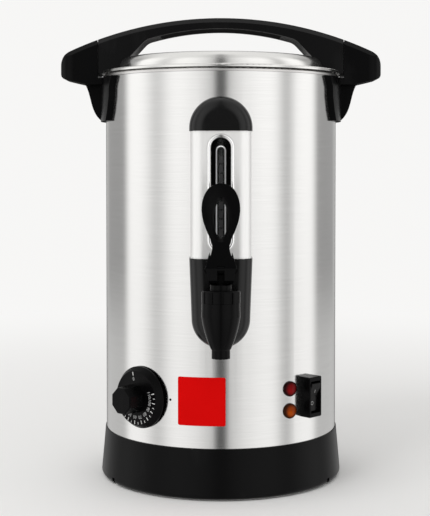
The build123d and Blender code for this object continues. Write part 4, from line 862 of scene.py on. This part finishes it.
def index_dot(material):
    """A small domed dot beside the dial."""
    bm = bmesh.new()
    rings = []
    for share, lift in DOT_PROFILE:
        ring = []
        for i in range(DOT_STEPS):
            a = tau * i / DOT_STEPS
            u, v = DOT_R * share * cos(a), DOT_R * share * sin(a)
            ring.append(bm.verts.new(on_casing(DOT, u, v, DOT_RISE * lift)))
        rings.append(ring)
    sheet(bm, [ring + ring[:1] for ring in rings])
    bm.faces.new(rings[-1])
    new_piece("index_dot", bm, material, "urn")


# ---------------------------------------------------------------- studio


def studio_world():
    """Plain light for matt surfaces; for gloss, a pale room with a few darker strips."""
    world = bpy.data.worlds.new("studio")
    bpy.context.scene.world = world
    w = Tree(world)
    x, y, z = w.parts(w.node("ShaderNodeTexCoord", out="Generated"))
    low = 0 - z
    round_deg = x.maths("ARCTAN2", x, 0 - y) * (180 / pi)
    side = abs(round_deg)
    # A darker strip on each side, darker flanks, and the very back darker still from low down.
    room = 0.95 - 0.35 * round_deg.bell(-65, 12) - 0.46 * round_deg.bell(67, 9.5)
    flank = 0.65 - 0.20 * low.rise(0.075, 0.16)
    room = room - flank * side.rise(99, 113) + (flank - 0.53) * side.rise(146, 158)
    room = room - 0.50 * side.rise(160, 170) * (1 - z.rise(0.0, 0.1))
    # Above and below, the room fades to one even tone.
    level = 1 - abs(z).rise(0.45, 0.85)
    room = room * level + 0.72 * (1 - level)
    # The dark strip in front, which the middle of the casing shows.
    dark = 0.36 * round_deg.bell(0, 26) + 0.22 * round_deg.bell(0, 9)
    dark = dark + 0.32 * (1 - side.rise(4, 7))
    room = (room - dark * (0.6 + 0.4 * level)).most(0.04)
    room = room * (1 - 0.10 * low.rise(-0.08, 0.2) - 0.15 * low.rise(0.3, 0.7))
    camera = w.node("ShaderNodeLightPath", out="Is Camera Ray")
    glossy = w.node("ShaderNodeLightPath", out="Is Glossy Ray")
    strength = MATT_LIGHT * (1 - camera - glossy) + BACKDROP_LIGHT * camera
    strength = strength + ROOM_LIGHT * room * glossy
    light = {"Color": rgba(BACKDROP), "Strength": strength}
    w.end(w.node("ShaderNodeBackground", {}, light), "ShaderNodeOutputWorld")


def floor():
    """A pale floor that keeps the urn's shadow and fades into the backdrop."""
    mesh = bpy.data.meshes.new("floor")
    bm = bmesh.new()
    bmesh.ops.create_grid(bm, x_segments=4, y_segments=4, size=6.0)
    bm.to_mesh(mesh)
    bm.free()
    ground = bpy.data.objects.new("floor", mesh)
    bpy.context.scene.collection.objects.link(ground)
    f = Finish("pale_floor")
    x, y, _ = f.place()
    far = (x * x + y * y).root().rise(0.25, 1.3)
    camera = f.node("ShaderNodeLightPath", out="Is Camera Ray")
    matt = f.node("ShaderNodeBsdfDiffuse", {}, {"Color": rgba((0.90, 0.897, 0.89))})
    light = {"Color": rgba(BACKDROP), "Strength": BACKDROP_LIGHT}
    plain = f.node("ShaderNodeEmission", {}, light)
    f.end(f.node("ShaderNodeMixShader", {}, {0: far * camera, 1: matt, 2: plain}))
    mesh.materials.append(f.material)
    ground.visible_glossy = False


def lamp(name, place, towards, size, power):
    light = bpy.data.lights.new(name, "AREA")
    light.shape = "DISK"
    light.size = size
    light.energy = power
    holder = bpy.data.objects.new(name, light)
    holder.location = place
    holder.rotation_mode = "QUATERNION"
    holder.rotation_quaternion = (Vector(towards) - Vector(place)).to_track_quat("-Z", "Y")
    holder.visible_glossy = False
    bpy.context.scene.collection.objects.link(holder)


def camera():
    data = bpy.data.cameras.new("camera")
    data.sensor_width = 36.0
    data.lens = 85.26
    data.shift_x = -0.0114
    data.shift_y = -0.12
    holder = bpy.data.objects.new("camera", data)
    holder.location = (0.0, -1.199, 0.3043)
    holder.rotation_euler = (radians(90 - 1.64), 0, 0)
    bpy.context.scene.collection.objects.link(holder)
    bpy.context.scene.camera = holder


camera()
finish = dress()
dial_print(finish["white_ink"], finish["figure_ink"])
tube_print(finish["gauge_ink"], finish["dark_ink"])
rocker_marks(finish["grey_ink"])
window_trim(finish["chrome_rim"])
return_spring(finish["spring_wire"])
bare_plate(finish["red_enamel"])
index_dot(finish["black_matt"])
studio_world()
floor()
lamp("key", place=(-0.9, -1.1, 1.5), towards=(0, 0, 0.2), size=0.9, power=9.0)
bpy.context.scene.view_settings.view_transform = "Standard"
